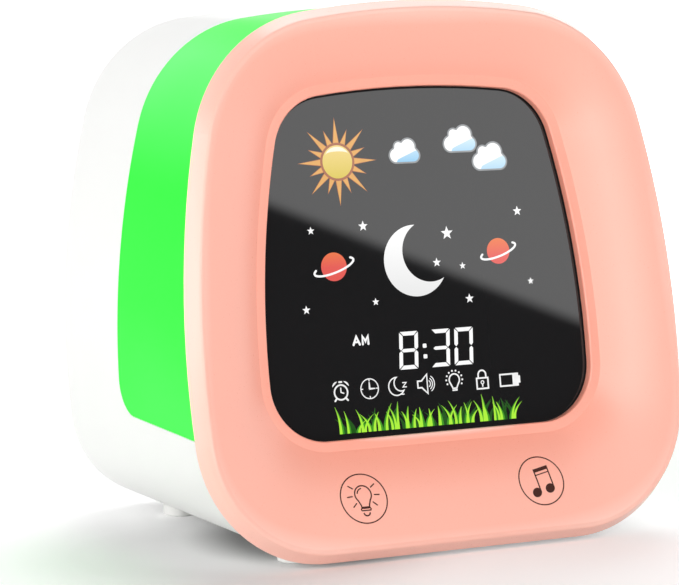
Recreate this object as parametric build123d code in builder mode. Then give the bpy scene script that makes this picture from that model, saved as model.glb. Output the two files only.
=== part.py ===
from build123d import *
import os
from math import atan2, cos, degrees, radians, sin, sqrt

# Child's bedside alarm clock with a night-light band round its case.
# Millimetres. Z is up, the face looks along -Y, and X runs to the right of someone facing it.
# The origin lies on the table, under the middle of the clock.

os.makedirs("parts", exist_ok=True)

# ---------------------------------------------------------------- driving dimensions
# Stance
lean = 9.94  # degrees by which the face leans back
face_y = -39.15  # centre of the face, on the plane of its crest
face_z = 64.9
body_depth = 87.9  # from the centre of the face to the outside of the back wall

# Face: a soft square, wider at its foot, measured from its centre in its own plane
face_top_half = 52.9
face_foot_half = 61.2
face_low = -63.3
face_high = 59.9
face_side_bow = 8.1
face_top_bow = 6.8
face_top_round = 35.3
face_foot_round = 30.8

# Rim of the bezel
crest_inset = 1.4
crest_land = 1.1
crest_round = 0.8
rim_flare = 0.8
rim_depth = 4.3

# Dish that falls from the rim to a ledge round the display, and the straight edge of the opening
dish_mid_depth = 2.9
dish_depth = 7.5
ledge_width = 2.5
ledge_fall = 0.2
sill = 2.1  # straight edge of the opening, above the window
sill_round = 0.45
bezel_wall = 2.4

# Display opening, measured in the face's own plane
screen_top_half = 34.9
screen_foot_half = 43.0
screen_low = -35.8
screen_high = 44.4
screen_side_bow = 3.8
screen_top_bow = 2.8
screen_top_round = 14.4
screen_foot_round = 14.2

# Back of the case, upright, with heights over the table
back_top_half = 49.6
back_foot_half = 55.6
back_low = 2.7
back_high = 120.1
back_side_bow = 8.5
back_top_bow = 5.0
back_top_round = 31.0
back_foot_round = 23.9
back_edge_round = 5.5

# Shells
body_wall = 2.5
body_inset = 0.9  # case inside the face outline, where it meets the rim
fit = 0.15  # gap between pieces that slide into each other by hand
spigot_wall = 1.6
spigot_depth = 4.0

# Night-light band
seam_y = 9.1
band_foot = 31.0
band_corner = 8.0
seam_gap = 0.15
lip_wall = 1.2
lip_depth = 3.0

# Case screws, their posts on the bezel and their wells in the back
join_y = -4.3  # where posts and wells meet, with the light board between them
case_screw_low = (46.0, 15.0)
case_screw_high = (41.9, 110.9)
case_screw_shank = 1.5
case_screw_head = 2.8
case_screw_head_height = 2.0
case_screw_grip = 9.0
post_radius = 3.3
well_wall = 1.0
well_floor = 2.0

# Small screws for boards, speaker and battery strap
small_shank = 1.0
small_head = 1.9
small_head_height = 1.3
small_grip = 5.0
small_post = 2.6
thread_gap = 0.02
hole_gap = 0.2

# Display, stacked behind the bezel
window_ledge = 2.0
window_thickness = 2.0
frame_wall = 1.8
film_thickness = 0.25
reflector_depth = 5.5
reflector_margin = 2.6
board_thickness = 1.6
display_board_margin = 7.8
display_screw_out = 4.5  # beyond the opening's upper corners
display_screw_foot = 0.8  # beyond its lower corners
cavity_web = 1.4
readout_height = -16.5
readout_digit = (4.6, 8.6)
readout_pitch = 6.0
readout_count = 4
icon_height = -25.2
icon_cell = 6.0
icon_pitch = 7.7
icon_count = 7
meadow_height = -33.0
meadow_cell = (10.5, 5.0)
meadow_count = 4
sky_cell = (22.0, 20.0)
sky_height = 16.0
sky_columns = 3
sky_rows = 2
led_package = (2.0, 1.4, 0.9)

# Touch pads behind the two marks under the display
touch_offset = 24.2
touch_radius = 6.3
touch_pad_thickness = 0.8
touch_seat = 0.5

# Night-light board
light_board_edge = 3.0
light_board_band = 14.5
light_board_foot = 9.0
light_board_leg = 38.0
light_led = (5.0, 5.0, 1.6)
light_led_count = 9
light_led_sweep = 200.0

# Control board
control_size = (66.0, 48.0)
control_height = 33.5
control_gap = 8.5  # from the inside of the back wall to the board
control_screw_inset = 4.0
standoff_radius = 3.0

# Push buttons
button_pitch = (18.0, 15.0)
button_height = 43.5
button_radius = 4.5
button_proud = 1.2
button_round = 0.5
button_gap = 0.15
button_flange = 1.3
button_flange_thickness = 1.2
button_stem = 2.0
button_travel = 0.6
rest_gap = 0.05
switch_size = (6.0, 6.0, 3.5)
plunger_radius = 1.7
plunger_reach = 1.5
plunger_root = 1.0
plunger_gap = 0.08

# Power switch
power_x = -13.0
power_height = 20.0
power_travel = 3.0
power_knob = (5.0, 3.4)
power_proud = 1.0
power_flange = (13.4, 6.4, 1.2)
power_body = (10.0, 4.4, 3.5)
power_stem = (2.2, 1.8)
power_stem_root = 1.2

# Charging socket
port_x = 13.0
port_shell = (8.94, 3.26)
port_metal = 0.3
port_round = 1.6
port_recess = (14.0, 8.0, 0.9)
port_recess_round = 3.0
port_tongue = (6.6, 0.7)
port_tongue_setback = 1.0
port_base = 2.5

# Speaker and its grille
speaker_height = 84.0
speaker_radius = 20.0
speaker_flange = 3.0
speaker_flange_thickness = 1.0
basket_depth = 8.0
basket_metal = 0.8
magnet_radius = 12.5
magnet_depth = 7.5
gasket_thickness = 0.8
cone_thickness = 0.4
dust_cap_radius = 6.0
speaker_post_offset = 3.4
speaker_washer = 4.2
grille_radius = 16.0
grille_slot = 1.6
grille_pitch = 3.6

# Battery
cell_radius = 9.1
cell_length = 65.0
cell_y = 12.0
cell_height = 15.4
cradle_gap = 0.1
cradle_thickness = 2.4
cradle_spacing = 48.0
strap_width = 12.0
strap_thickness = 1.4
strap_post_offset = 14.5

# Feet
foot_radius = 4.2
foot_spread = 37.3
front_foot_y = -34.8
rear_foot_y = 28.8
foot_seat_height = 3.2
foot_round = 0.6

# Chips
driver_size = (10.0, 10.0, 1.2)
driver_height = 8.0  # over the centre of the face, on the back of the display board
chip_size = (7.0, 7.0, 1.2)
chip_spots = ((-9.0, 30.0), (6.0, 31.0))
capacitor_radius = 3.15
capacitor_length = 7.0
capacitor_spot = (-15.5, 52.0)

# Leads
lead_radius = 0.7
lead_pair = 1.2  # half the spacing of two leads that run side by side
lead_bend_share = 0.45  # of the shorter run beside a bend, taken up by the bend
plug_size = (6.0, 5.0, 5.0)
speaker_plug = (20.0, 50.0)
battery_plug = (24.0, 28.0)
light_plug = (-24.0, 48.0)
light_board_plug = (-49.0, 48.0)
ribbon_width = 16.0
ribbon_thickness = 0.4
ribbon_socket = (18.0, 4.0, 2.0)
ribbon_height = 45.0
ribbon_start = -30.0  # on the back of the display board
touch_lead_radius = 0.5
touch_lead_loop = 3.0  # behind the display board
touch_lead_end = -39.0

# ---------------------------------------------------------------- derived places
back_y = face_y + body_depth
inner_back_y = back_y - body_wall
window_depth = dish_depth + ledge_fall + sill
film_depth = window_depth + window_thickness
reflector_front = film_depth + film_thickness
display_board_front = reflector_front + reflector_depth
display_board_back = display_board_front + board_thickness
control_back_y = inner_back_y - control_gap
control_front_y = control_back_y - board_thickness
beyond = 2 * body_depth  # longer than the clock in any direction

face_form = (
    face_top_half,
    face_foot_half,
    face_low,
    face_high,
    face_side_bow,
    face_top_bow,
    face_top_round,
    face_foot_round,
)
screen_form = (
    screen_top_half,
    screen_foot_half,
    screen_low,
    screen_high,
    screen_side_bow,
    screen_top_bow,
    screen_top_round,
    screen_foot_round,
)
back_form = (
    back_top_half,
    back_foot_half,
    back_low,
    back_high,
    back_side_bow,
    back_top_bow,
    back_top_round,
    back_foot_round,
)
dish_form = tuple((a + b) / 2 for a, b in zip(face_form, screen_form))
dish_edge = -crest_inset - crest_land
dish_middle = (dish_edge + ledge_width) / 2

face_plane = Plane(
    origin=(0, face_y, face_z),
    x_dir=(1, 0, 0),
    z_dir=(0, -cos(radians(lean)), sin(radians(lean))),
)


def behind(depth):
    """The plane parallel to the face at a depth behind its crest, looking out of the face."""
    return face_plane.offset(-depth)


def upright(y):
    """A vertical plane across the clock, looking forwards; its local Y is the height."""
    return Plane(origin=(0, y, 0), x_dir=(1, 0, 0), z_dir=(0, -1, 0))


def soft_square(plane, form, grow=0.0):
    """A four-sided face with bowed sides and top and rounded corners, grown all round."""
    top_half, foot_half, low, high, side_bow, top_bow, top_round, foot_rounding = form
    with BuildSketch() as shape:
        with BuildLine():
            Line((-foot_half, low), (foot_half, low))
            SagittaArc((foot_half, low), (top_half, high), -side_bow)
            SagittaArc((top_half, high), (-top_half, high), -top_bow)
            SagittaArc((-top_half, high), (-foot_half, low), -side_bow)
        make_face()
        fillet(shape.vertices().group_by(Axis.Y)[-1], top_round)
        fillet(shape.vertices().group_by(Axis.Y)[0], foot_rounding)
    with BuildSketch(plane) as grown:
        with BuildLine():
            for edge in shape.face().outer_wire().edges():
                if edge.geom_type == GeomType.LINE:
                    Line(edge @ 0 - Vector(0, grow), edge @ 1 - Vector(0, grow))
                else:
                    centre = edge.arc_center
                    swell = 1 + grow / edge.radius
                    ThreePointArc(*[centre + (edge @ share - centre) * swell for share in (0, 0.5, 1)])
        make_face()
    return grown.sketch


def case_form(inset):
    """The closed form of the case from the rim to the back, drawn in by an inset."""
    with BuildPart() as form:
        rim_end = soft_square(behind(rim_depth), face_form, -body_inset - inset)
        back_end = soft_square(upright(back_y - inset), back_form, -inset)
        loft([rim_end, back_end], ruled=True)
        back_edges = form.faces().sort_by(Axis.Y)[-1].edges()
        fillet(back_edges, max(back_edge_round - inset, 1.0))
    return form.part


def dish(shift):
    """The hollow of the bezel's dish, or with a shift the same form moved into the bezel."""
    with BuildPart() as hollow:
        loft(
            [
                soft_square(behind(shift), face_form, dish_edge),
                soft_square(behind(dish_mid_depth + shift), dish_form, dish_middle),
                soft_square(behind(dish_depth + shift), screen_form, ledge_width),
            ]
        )
    return hollow.part


def band_block(margin):
    """All that lies in front of the band's seam and over its foot, grown by a margin."""
    with BuildPart() as block:
        with BuildSketch(Plane.YZ) as side:
            with Locations((seam_y + margin, band_foot - margin)):
                Rectangle(beyond, beyond, align=(Align.MAX, Align.MIN))
            corner = side.vertices().sort_by(Axis.X)[-2:].sort_by(Axis.Y)[0]
            fillet(corner, band_corner + margin)
        extrude(amount=beyond / 2, both=True)
    return block.part


def both_sides(spot):
    """A spot and its mirror image across the middle of the clock."""
    return [spot, (-spot[0], spot[1])]


outer_case = case_form(0)
inner_case = case_form(body_wall)
spigot_case = case_form(body_wall + fit)
case_screw_spots = both_sides(case_screw_low) + both_sides(case_screw_high)
well_radius = case_screw_head + hole_gap


def cavities(plane):
    """The outlines of the light cavities behind the picture, drawn on a plane."""
    with BuildSketch(plane) as drawing:
        with Locations((0, sky_height)):
            with GridLocations(sky_cell[0] + cavity_web, sky_cell[1] + cavity_web, sky_columns, sky_rows):
                Rectangle(*sky_cell)
        with Locations((0, readout_height)):
            with GridLocations(readout_pitch, 0, readout_count, 1):
                Rectangle(*readout_digit)
        with Locations((0, icon_height)):
            with GridLocations(icon_pitch, 0, icon_count, 1):
                Rectangle(icon_cell, icon_cell)
        with Locations((0, meadow_height)):
            with GridLocations(meadow_cell[0] + cavity_web, 0, meadow_count, 1):
                Rectangle(*meadow_cell)
    return drawing.sketch


# ---------------------------------------------------------------- bezel
display_screw_spots = both_sides((screen_top_half + display_screw_out, screen_high))
display_screw_spots += both_sides((screen_foot_half + display_screw_foot, screen_low))
touch_v = (face_low - dish_edge + screen_low - ledge_width) / 2
touch_spots = both_sides((touch_offset, touch_v))
dish_run = screen_low - ledge_width - (face_low - dish_edge)
touch_tilt = degrees(atan2(dish_depth, dish_run))
touch_seat_depth = dish_mid_depth + bezel_wall + touch_seat


def touch_plane(spot, depth):
    """The plane of a touch pad, square to the dish, at a depth along that plane's normal."""
    seat = behind(touch_seat_depth)
    centre = seat.from_local_coords((spot[0], spot[1], 0))
    tilted = Plane(origin=centre, x_dir=seat.x_dir, z_dir=seat.z_dir).rotated((-touch_tilt, 0, 0))
    return tilted.offset(-depth)


def on_crest(face):
    """Whether a face of the bezel lies on the plane of its crest."""
    heights = [face_plane.to_local_coords(corner.center()).Z for corner in face.vertices()]
    return max(abs(height) for height in heights) < crest_round / 10


def on_sill(edge):
    """Whether an edge of the bezel is the front edge of the display's opening."""
    ledge_end = behind(dish_depth + ledge_fall)
    spots = [ledge_end.to_local_coords(edge @ share) for share in (0, 0.5, 1)]
    level = max(abs(spot.Z) for spot in spots) < sill_round / 10
    return level and spots[1].Y > screen_low - sill_round


with BuildPart() as case_posts:
    with BuildSketch(upright(join_y - board_thickness)):
        with Locations(*case_screw_spots):
            Circle(post_radius)
    extrude(amount=beyond)
    split(bisect_by=behind(dish_mid_depth / 2), keep=Keep.BOTTOM)

with BuildPart() as touch_seats:
    for spot in touch_spots:
        with BuildSketch(touch_plane(spot, 0)):
            Circle(touch_radius + touch_pad_thickness)
        extrude(amount=bezel_wall)

with BuildPart() as spigot:
    with BuildSketch(behind(rim_depth)):
        Rectangle(beyond, beyond)
    extrude(amount=-spigot_depth)
    add(spigot_case, mode=Mode.INTERSECT)
    add(case_form(body_wall + fit + spigot_wall), mode=Mode.SUBTRACT)

with BuildPart() as front_bezel:
    # Rim, flaring from its crest to its back edge, hollow behind
    loft(
        [
            soft_square(face_plane, face_form, -crest_inset),
            soft_square(behind(rim_depth), face_form, rim_flare),
        ],
        ruled=True,
    )
    hollow_inset = body_inset + body_wall + fit + spigot_wall
    hollow_outline = soft_square(behind(rim_depth), face_form, -hollow_inset)
    extrude(hollow_outline, amount=rim_depth - bezel_wall, mode=Mode.SUBTRACT)
    # Back of the dish, the frame round the window, and what stands on them
    add(dish(bezel_wall))
    window_frame = soft_square(behind(dish_depth), screen_form, window_ledge + frame_wall)
    extrude(window_frame, amount=-(film_depth - dish_depth))
    add(spigot.part)
    add(case_posts.part)
    add(touch_seats.part)
    with BuildSketch(behind(display_board_front)):
        with Locations(*display_screw_spots):
            Circle(small_post)
    extrude(amount=display_board_front - dish_depth)
    # The dish, its ledge and the opening, and the seat of the window behind them
    add(dish(0), mode=Mode.SUBTRACT)
    ledge_start = soft_square(behind(dish_depth), screen_form, ledge_width)
    ledge_end = soft_square(behind(dish_depth + ledge_fall), screen_form)
    loft([ledge_start, ledge_end], ruled=True, mode=Mode.SUBTRACT)
    extrude(ledge_end, amount=-(film_depth - dish_depth), mode=Mode.SUBTRACT)
    window_seat = soft_square(behind(window_depth), screen_form, window_ledge)
    extrude(window_seat, amount=-window_thickness - reflector_depth, mode=Mode.SUBTRACT)
    # Screw holes
    with BuildSketch(behind(display_board_front)):
        with Locations(*display_screw_spots):
            Circle(small_shank + thread_gap)
    extrude(amount=small_grip, mode=Mode.SUBTRACT)
    with BuildSketch(upright(join_y - board_thickness)):
        with Locations(*case_screw_spots):
            Circle(case_screw_shank + thread_gap)
    extrude(amount=case_screw_grip, mode=Mode.SUBTRACT)
    # Crest, softened on both sides
    crest_land_face = front_bezel.faces().filter_by(on_crest)[0]
    fillet(crest_land_face.outer_wire().edges(), crest_round)
    crest_land_face = front_bezel.faces().filter_by(on_crest)[0]
    fillet(crest_land_face.inner_wires()[0].edges(), crest_round)
    # Edge of the opening, softened
    fillet(front_bezel.edges().filter_by(on_sill), sill_round)
front_bezel.part.label = "front_bezel"
export_step(front_bezel.part, "parts/front_bezel.step")

# ---------------------------------------------------------------- display
with BuildPart() as display_window:
    window_outline = soft_square(behind(window_depth), screen_form, window_ledge - fit)
    extrude(window_outline, amount=-window_thickness)
display_window.part.label = "display_window"
export_step(display_window.part, "parts/display_window.step")

with BuildPart() as picture_film:
    film_outline = soft_square(behind(film_depth), screen_form, window_ledge - fit)
    extrude(film_outline, amount=-film_thickness)
picture_film.part.label = "picture_film"
export_step(picture_film.part, "parts/picture_film.step")

with BuildPart() as light_reflector:
    reflector_outline = soft_square(behind(reflector_front), screen_form, reflector_margin)
    extrude(reflector_outline, amount=-reflector_depth)
    extrude(cavities(behind(reflector_front)), amount=-reflector_depth, mode=Mode.SUBTRACT)
light_reflector.part.label = "light_reflector"
export_step(light_reflector.part, "parts/light_reflector.step")

with BuildPart() as display_board:
    board_outline = soft_square(behind(display_board_front), screen_form, display_board_margin)
    extrude(board_outline, amount=-board_thickness)
    with BuildSketch(behind(display_board_front)):
        with Locations(*display_screw_spots):
            Circle(small_shank + hole_gap)
    extrude(amount=-board_thickness, mode=Mode.SUBTRACT)
display_board.part.label = "display_board"
export_step(display_board.part, "parts/display_board.step")

with BuildPart() as display_leds:
    with BuildSketch(behind(display_board_front)):
        for cavity in cavities(behind(0)).faces():
            cavity_spot = face_plane.to_local_coords(cavity.center())
            with Locations((cavity_spot.X, cavity_spot.Y)):
                Rectangle(led_package[0], led_package[1])
    extrude(amount=led_package[2])
display_leds.part.label = "display_leds"
export_step(display_leds.part, "parts/display_leds.step")

for side, spot in zip(("right", "left"), touch_spots):
    with BuildPart() as touch_pad:
        with BuildSketch(touch_plane(spot, 0)):
            Circle(touch_radius)
        extrude(amount=-touch_pad_thickness)
    touch_pad.part.label = f"touch_pad_{side}"
    export_step(touch_pad.part, f"parts/touch_pad_{side}.step")

# ---------------------------------------------------------------- night-light band
with BuildPart() as band_lip:
    # A rib inside the edges of the band, whose outer part reaches in behind the back shell
    add(spigot_case)
    add(case_form(body_wall + fit + lip_wall), mode=Mode.SUBTRACT)
    add(band_block(lip_depth), mode=Mode.INTERSECT)
    add(band_block(-lip_depth), mode=Mode.SUBTRACT)
    split(bisect_by=behind(rim_depth + spigot_depth + fit), keep=Keep.BOTTOM)

with BuildPart() as band_web:
    # The wall that joins the rib to the band's own wall
    add(case_form(body_wall / 2))
    add(spigot_case, mode=Mode.SUBTRACT)
    add(band_block(0), mode=Mode.INTERSECT)
    add(band_block(-lip_depth), mode=Mode.SUBTRACT)
    split(bisect_by=behind(rim_depth + spigot_depth + fit), keep=Keep.BOTTOM)

with BuildPart() as light_diffuser:
    add(outer_case)
    add(inner_case, mode=Mode.SUBTRACT)
    add(band_block(0), mode=Mode.INTERSECT)
    add(band_web.part)
    add(band_lip.part)
light_diffuser.part.label = "light_diffuser"
export_step(light_diffuser.part, "parts/light_diffuser.step")

with BuildPart() as night_light_board:
    with BuildSketch(upright(join_y)):
        Rectangle(beyond, 2 * beyond)
    extrude(amount=board_thickness)
    add(case_form(body_wall + light_board_edge), mode=Mode.INTERSECT)
    add(case_form(body_wall + light_board_edge + light_board_band), mode=Mode.SUBTRACT)
    with BuildSketch(upright(join_y)):
        Rectangle(beyond, 2 * light_board_foot)
        Rectangle(2 * light_board_leg, 2 * (light_board_foot + light_board_band + light_board_edge))
    extrude(amount=board_thickness, mode=Mode.SUBTRACT)
    with BuildSketch(upright(join_y)):
        with Locations(*case_screw_spots):
            Circle(case_screw_shank + hole_gap)
    extrude(amount=board_thickness, mode=Mode.SUBTRACT)
night_light_board.part.label = "night_light_board"
export_step(night_light_board.part, "parts/night_light_board.step")

board_box = night_light_board.part.bounding_box()
led_inset = light_board_band / 2
led_half_width = board_box.size.X / 2 - led_inset
led_top = board_box.max.Z - led_inset
led_centre = led_top - led_half_width
led_roundness = 0.55  # under one, a circle swells towards a square

with BuildPart() as night_light_leds:
    with BuildSketch(upright(join_y - board_thickness)):
        for step in range(light_led_count):
            turn = radians(90 + light_led_sweep * (step / (light_led_count - 1) - 0.5))
            reach = (abs(cos(turn)) ** led_roundness, abs(sin(turn)) ** led_roundness)
            sign = (1 if cos(turn) > 0 else -1, 1 if sin(turn) > 0 else -1)
            led_spot = (
                led_half_width * reach[0] * sign[0],
                led_centre + led_half_width * reach[1] * sign[1],
            )
            with Locations(led_spot):
                Rectangle(light_led[0], light_led[1], rotation=degrees(turn))
    extrude(amount=light_led[2])
night_light_leds.part.label = "night_light_leds"
export_step(night_light_leds.part, "parts/night_light_leds.step")


# ---------------------------------------------------------------- back shell
button_names = ("alarm", "clock", "nap", "sound", "minus", "plus")
button_spots = [
    (column * button_pitch[0], button_height + row * button_pitch[1] / 2)
    for row in (1, -1)
    for column in (-1, 0, 1)
]
control_screw_spots = [
    (side * (control_size[0] / 2 - control_screw_inset), control_height + rise)
    for side in (-1, 1)
    for rise in (
        control_screw_inset - control_size[1] / 2,
        control_size[1] / 2 - control_screw_inset,
    )
]
speaker_post_reach = speaker_radius + speaker_post_offset
speaker_screw_spots = [
    (
        speaker_post_reach * cos(radians(turn)),
        speaker_height + speaker_post_reach * sin(radians(turn)),
    )
    for turn in (-30, 90, 210)
]
speaker_flange_front = inner_back_y - gasket_thickness - speaker_flange_thickness
strap_spots = [(0, cell_y + strap_post_offset), (0, cell_y - strap_post_offset)]
strap_seat_height = cell_height
foot_spots = {
    "front_left": (-foot_spread, front_foot_y),
    "front_right": (foot_spread, front_foot_y),
    "rear_left": (-foot_spread, rear_foot_y),
    "rear_right": (foot_spread, rear_foot_y),
}
port_mouth_y = back_y - port_recess[2]

with BuildPart() as wells:
    # Tubes that take the case screws through to the light board
    with BuildSketch(upright(back_y - body_wall / 2)):
        with Locations(*case_screw_spots):
            Circle(well_radius + well_wall)
    extrude(amount=back_y - body_wall / 2 - join_y)

with BuildPart() as back_shell:
    add(outer_case)
    add(inner_case, mode=Mode.SUBTRACT)
    add(band_block(seam_gap), mode=Mode.SUBTRACT)
    add(wells.part)
    with BuildSketch(upright(back_y)):
        with Locations(*case_screw_spots):
            Circle(well_radius)
    extrude(amount=back_y - join_y - well_floor, mode=Mode.SUBTRACT)
    with BuildSketch(upright(back_y)):
        with Locations(*case_screw_spots):
            Circle(case_screw_shank + hole_gap)
    extrude(amount=beyond, mode=Mode.SUBTRACT)
    # Standoffs of the control board
    with BuildSketch(upright(inner_back_y)):
        with Locations(*control_screw_spots):
            Circle(standoff_radius)
    extrude(amount=control_gap)
    with BuildSketch(upright(control_back_y)):
        with Locations(*control_screw_spots):
            Circle(small_shank + thread_gap)
    extrude(amount=-small_grip, mode=Mode.SUBTRACT)
    # Posts of the speaker
    with BuildSketch(upright(inner_back_y)):
        with Locations(*speaker_screw_spots):
            Circle(small_post)
    extrude(amount=inner_back_y - speaker_flange_front)
    with BuildSketch(upright(speaker_flange_front)):
        with Locations(*speaker_screw_spots):
            Circle(small_shank + thread_gap)
    extrude(amount=-small_grip + body_wall / 2, mode=Mode.SUBTRACT)
    # Grille
    with BuildSketch(upright(back_y)):
        slot_count = 2 * int((grille_radius - grille_slot) / grille_pitch) + 1
        for slot in range(slot_count):
            rise = (slot - (slot_count - 1) / 2) * grille_pitch
            with Locations((0, speaker_height + rise)):
                SlotOverall(2 * sqrt(grille_radius**2 - rise**2), grille_slot)
    extrude(amount=body_wall, mode=Mode.SUBTRACT)
    # Holes of the buttons and the power switch
    with BuildSketch(upright(back_y)):
        with Locations(*button_spots):
            Circle(button_radius + button_gap)
        with Locations((power_x + power_travel / 2, power_height)):
            SlotOverall(
                power_knob[0] + power_travel + 2 * button_gap,
                power_knob[1] + 2 * button_gap,
            )
    extrude(amount=body_wall, mode=Mode.SUBTRACT)
    # Charging socket: a recess for the plug's grip and a hole for the socket
    with BuildSketch(upright(back_y)):
        with Locations((port_x, power_height)):
            RectangleRounded(port_recess[0], port_recess[1], port_recess_round)
    extrude(amount=port_recess[2], mode=Mode.SUBTRACT)
    with BuildSketch(upright(back_y)):
        with Locations((port_x, power_height)):
            RectangleRounded(
                port_shell[0] + 2 * fit,
                port_shell[1] + 2 * fit,
                port_round + fit,
            )
    extrude(amount=body_wall, mode=Mode.SUBTRACT)
    # Cradle of the battery and the posts of its strap
    with BuildSketch(Plane.XY.offset(foot_seat_height)):
        with Locations((0, cell_y)):
            with GridLocations(cradle_spacing, 0, 2, 1):
                Rectangle(cradle_thickness, 2 * cell_radius)
        with Locations(*strap_spots):
            Circle(small_post)
    extrude(amount=strap_seat_height - foot_seat_height)
    with BuildSketch(Plane.YZ.offset(-cell_length / 2)):
        with Locations((cell_y, cell_height)):
            Circle(cell_radius + cradle_gap)
    extrude(amount=cell_length, mode=Mode.SUBTRACT)
    with BuildSketch(Plane.XY.offset(strap_seat_height)):
        with Locations(*strap_spots):
            Circle(small_shank + thread_gap)
    extrude(amount=-small_grip, mode=Mode.SUBTRACT)
    # Pockets of the feet
    with BuildSketch(Plane.XY.offset(foot_seat_height)):
        with Locations(*foot_spots.values()):
            Circle(foot_radius + fit)
    extrude(amount=-foot_seat_height, mode=Mode.SUBTRACT)
back_shell.part.label = "back_shell"
export_step(back_shell.part, "parts/back_shell.step")

for corner, spot in foot_spots.items():
    with BuildPart() as foot:
        with BuildSketch(Plane.XY):
            with Locations(spot):
                Circle(foot_radius)
        extrude(amount=foot_seat_height)
        fillet(foot.edges().group_by(Axis.Z)[0], foot_round)
    foot.part.label = f"foot_{corner}"
    export_step(foot.part, f"parts/foot_{corner}.step")

# ---------------------------------------------------------------- controls
button_tip_y = control_back_y + switch_size[2] + plunger_reach
flange_back_y = inner_back_y - rest_gap
flange_front_y = flange_back_y - button_flange_thickness

for name, spot in zip(button_names, button_spots):
    with BuildPart() as button:
        with BuildSketch(upright(back_y + button_proud)):
            with Locations(spot):
                Circle(button_radius)
        extrude(amount=back_y + button_proud - flange_front_y)
        fillet(button.edges().group_by(Axis.Y)[-1], button_round)
        with BuildSketch(upright(flange_back_y)):
            with Locations(spot):
                Circle(button_radius + button_flange)
        extrude(amount=button_flange_thickness)
        with BuildSketch(upright(flange_front_y)):
            with Locations(spot):
                Circle(button_stem)
        extrude(amount=flange_front_y - button_tip_y)
    button.part.label = f"{name}_button"
    export_step(button.part, f"parts/{name}_button.step")

    with BuildPart() as plunger:
        with BuildSketch(upright(button_tip_y)):
            with Locations(spot):
                Circle(plunger_radius)
        extrude(amount=plunger_reach + plunger_root)
    plunger.part.label = f"{name}_plunger"
    export_step(plunger.part, f"parts/{name}_plunger.step")

with BuildPart() as button_switches:
    with BuildSketch(upright(control_back_y)):
        with Locations(*button_spots):
            Rectangle(switch_size[0], switch_size[1])
    extrude(amount=-switch_size[2])
    with BuildSketch(upright(control_back_y + switch_size[2])):
        with Locations(*button_spots):
            Circle(plunger_radius + plunger_gap)
    extrude(amount=plunger_root + button_travel + rest_gap, mode=Mode.SUBTRACT)
button_switches.part.label = "button_switches"
export_step(button_switches.part, "parts/button_switches.step")

with BuildPart() as power_switch:
    with BuildSketch(upright(control_back_y)):
        with Locations((power_x + power_travel / 2, power_height)):
            Rectangle(power_body[0], power_body[1])
    extrude(amount=-power_body[2])
    with BuildSketch(upright(control_back_y + power_body[2])):
        with Locations((power_x + power_travel / 2, power_height)):
            Rectangle(
                power_stem[0] + power_travel + 2 * button_gap,
                power_stem[1] + 2 * plunger_gap,
            )
    extrude(amount=power_stem_root + rest_gap, mode=Mode.SUBTRACT)
power_switch.part.label = "power_switch"
export_step(power_switch.part, "parts/power_switch.step")

with BuildPart() as power_slider:
    with BuildSketch(upright(back_y + power_proud)):
        with Locations((power_x, power_height)):
            SlotOverall(power_knob[0], power_knob[1])
    extrude(amount=back_y + power_proud - flange_front_y)
    with BuildSketch(upright(flange_back_y)):
        with Locations((power_x, power_height)):
            RectangleRounded(power_flange[0], power_flange[1], button_round)
    extrude(amount=power_flange[2])
    with BuildSketch(upright(flange_front_y)):
        with Locations((power_x, power_height)):
            Rectangle(power_stem[0], power_stem[1])
    extrude(amount=flange_front_y - control_back_y - power_body[2] + power_stem_root)
    # Grip ridges across the knob
    with BuildSketch(upright(back_y + power_proud)):
        with Locations((power_x, power_height)):
            with GridLocations(power_knob[0] / 4, 0, 3, 1):
                Rectangle(power_knob[0] / 10, power_knob[1])
    extrude(amount=power_knob[0] / 10, mode=Mode.SUBTRACT)
power_slider.part.label = "power_slider"
export_step(power_slider.part, "parts/power_slider.step")

with BuildPart() as charging_socket:
    with BuildSketch(upright(port_mouth_y)):
        with Locations((port_x, power_height)):
            RectangleRounded(port_shell[0], port_shell[1], port_round)
            RectangleRounded(
                port_shell[0] - 2 * port_metal,
                port_shell[1] - 2 * port_metal,
                port_round - port_metal,
                mode=Mode.SUBTRACT,
            )
    extrude(amount=port_mouth_y - control_back_y)
charging_socket.part.label = "charging_socket"
export_step(charging_socket.part, "parts/charging_socket.step")

with BuildPart() as charging_tongue:
    with BuildSketch(upright(control_back_y)):
        with Locations((port_x, power_height)):
            RectangleRounded(
                port_shell[0] - 2 * port_metal,
                port_shell[1] - 2 * port_metal,
                port_round - port_metal,
            )
    extrude(amount=-port_base)
    with BuildSketch(upright(control_back_y)):
        with Locations((port_x, power_height)):
            Rectangle(port_tongue[0], port_tongue[1])
    extrude(amount=-(port_mouth_y - port_tongue_setback - control_back_y))
charging_tongue.part.label = "charging_tongue"
export_step(charging_tongue.part, "parts/charging_tongue.step")

with BuildPart() as control_board:
    with BuildSketch(upright(control_back_y)):
        with Locations((0, control_height)):
            RectangleRounded(control_size[0], control_size[1], control_screw_inset / 2)
        with Locations(*control_screw_spots):
            Circle(small_shank + hole_gap, mode=Mode.SUBTRACT)
    extrude(amount=board_thickness)
control_board.part.label = "control_board"
export_step(control_board.part, "parts/control_board.step")


def screws(plane, spots, shank, head, head_height, length, up=1):
    """Cross-head screws with their heads seated on a plane, on its front or its back."""
    with BuildPart() as group:
        with BuildSketch(plane):
            with Locations(*spots):
                Circle(head)
        extrude(amount=up * head_height)
        with BuildSketch(plane):
            with Locations(*spots):
                Circle(shank)
        extrude(amount=-up * length)
        with BuildSketch(plane.offset(up * head_height)):
            with Locations(*spots):
                Rectangle(1.2 * head, head / 4)
                Rectangle(head / 4, 1.2 * head)
        extrude(amount=-up * head_height / 2, mode=Mode.SUBTRACT)
    return group.part


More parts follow.
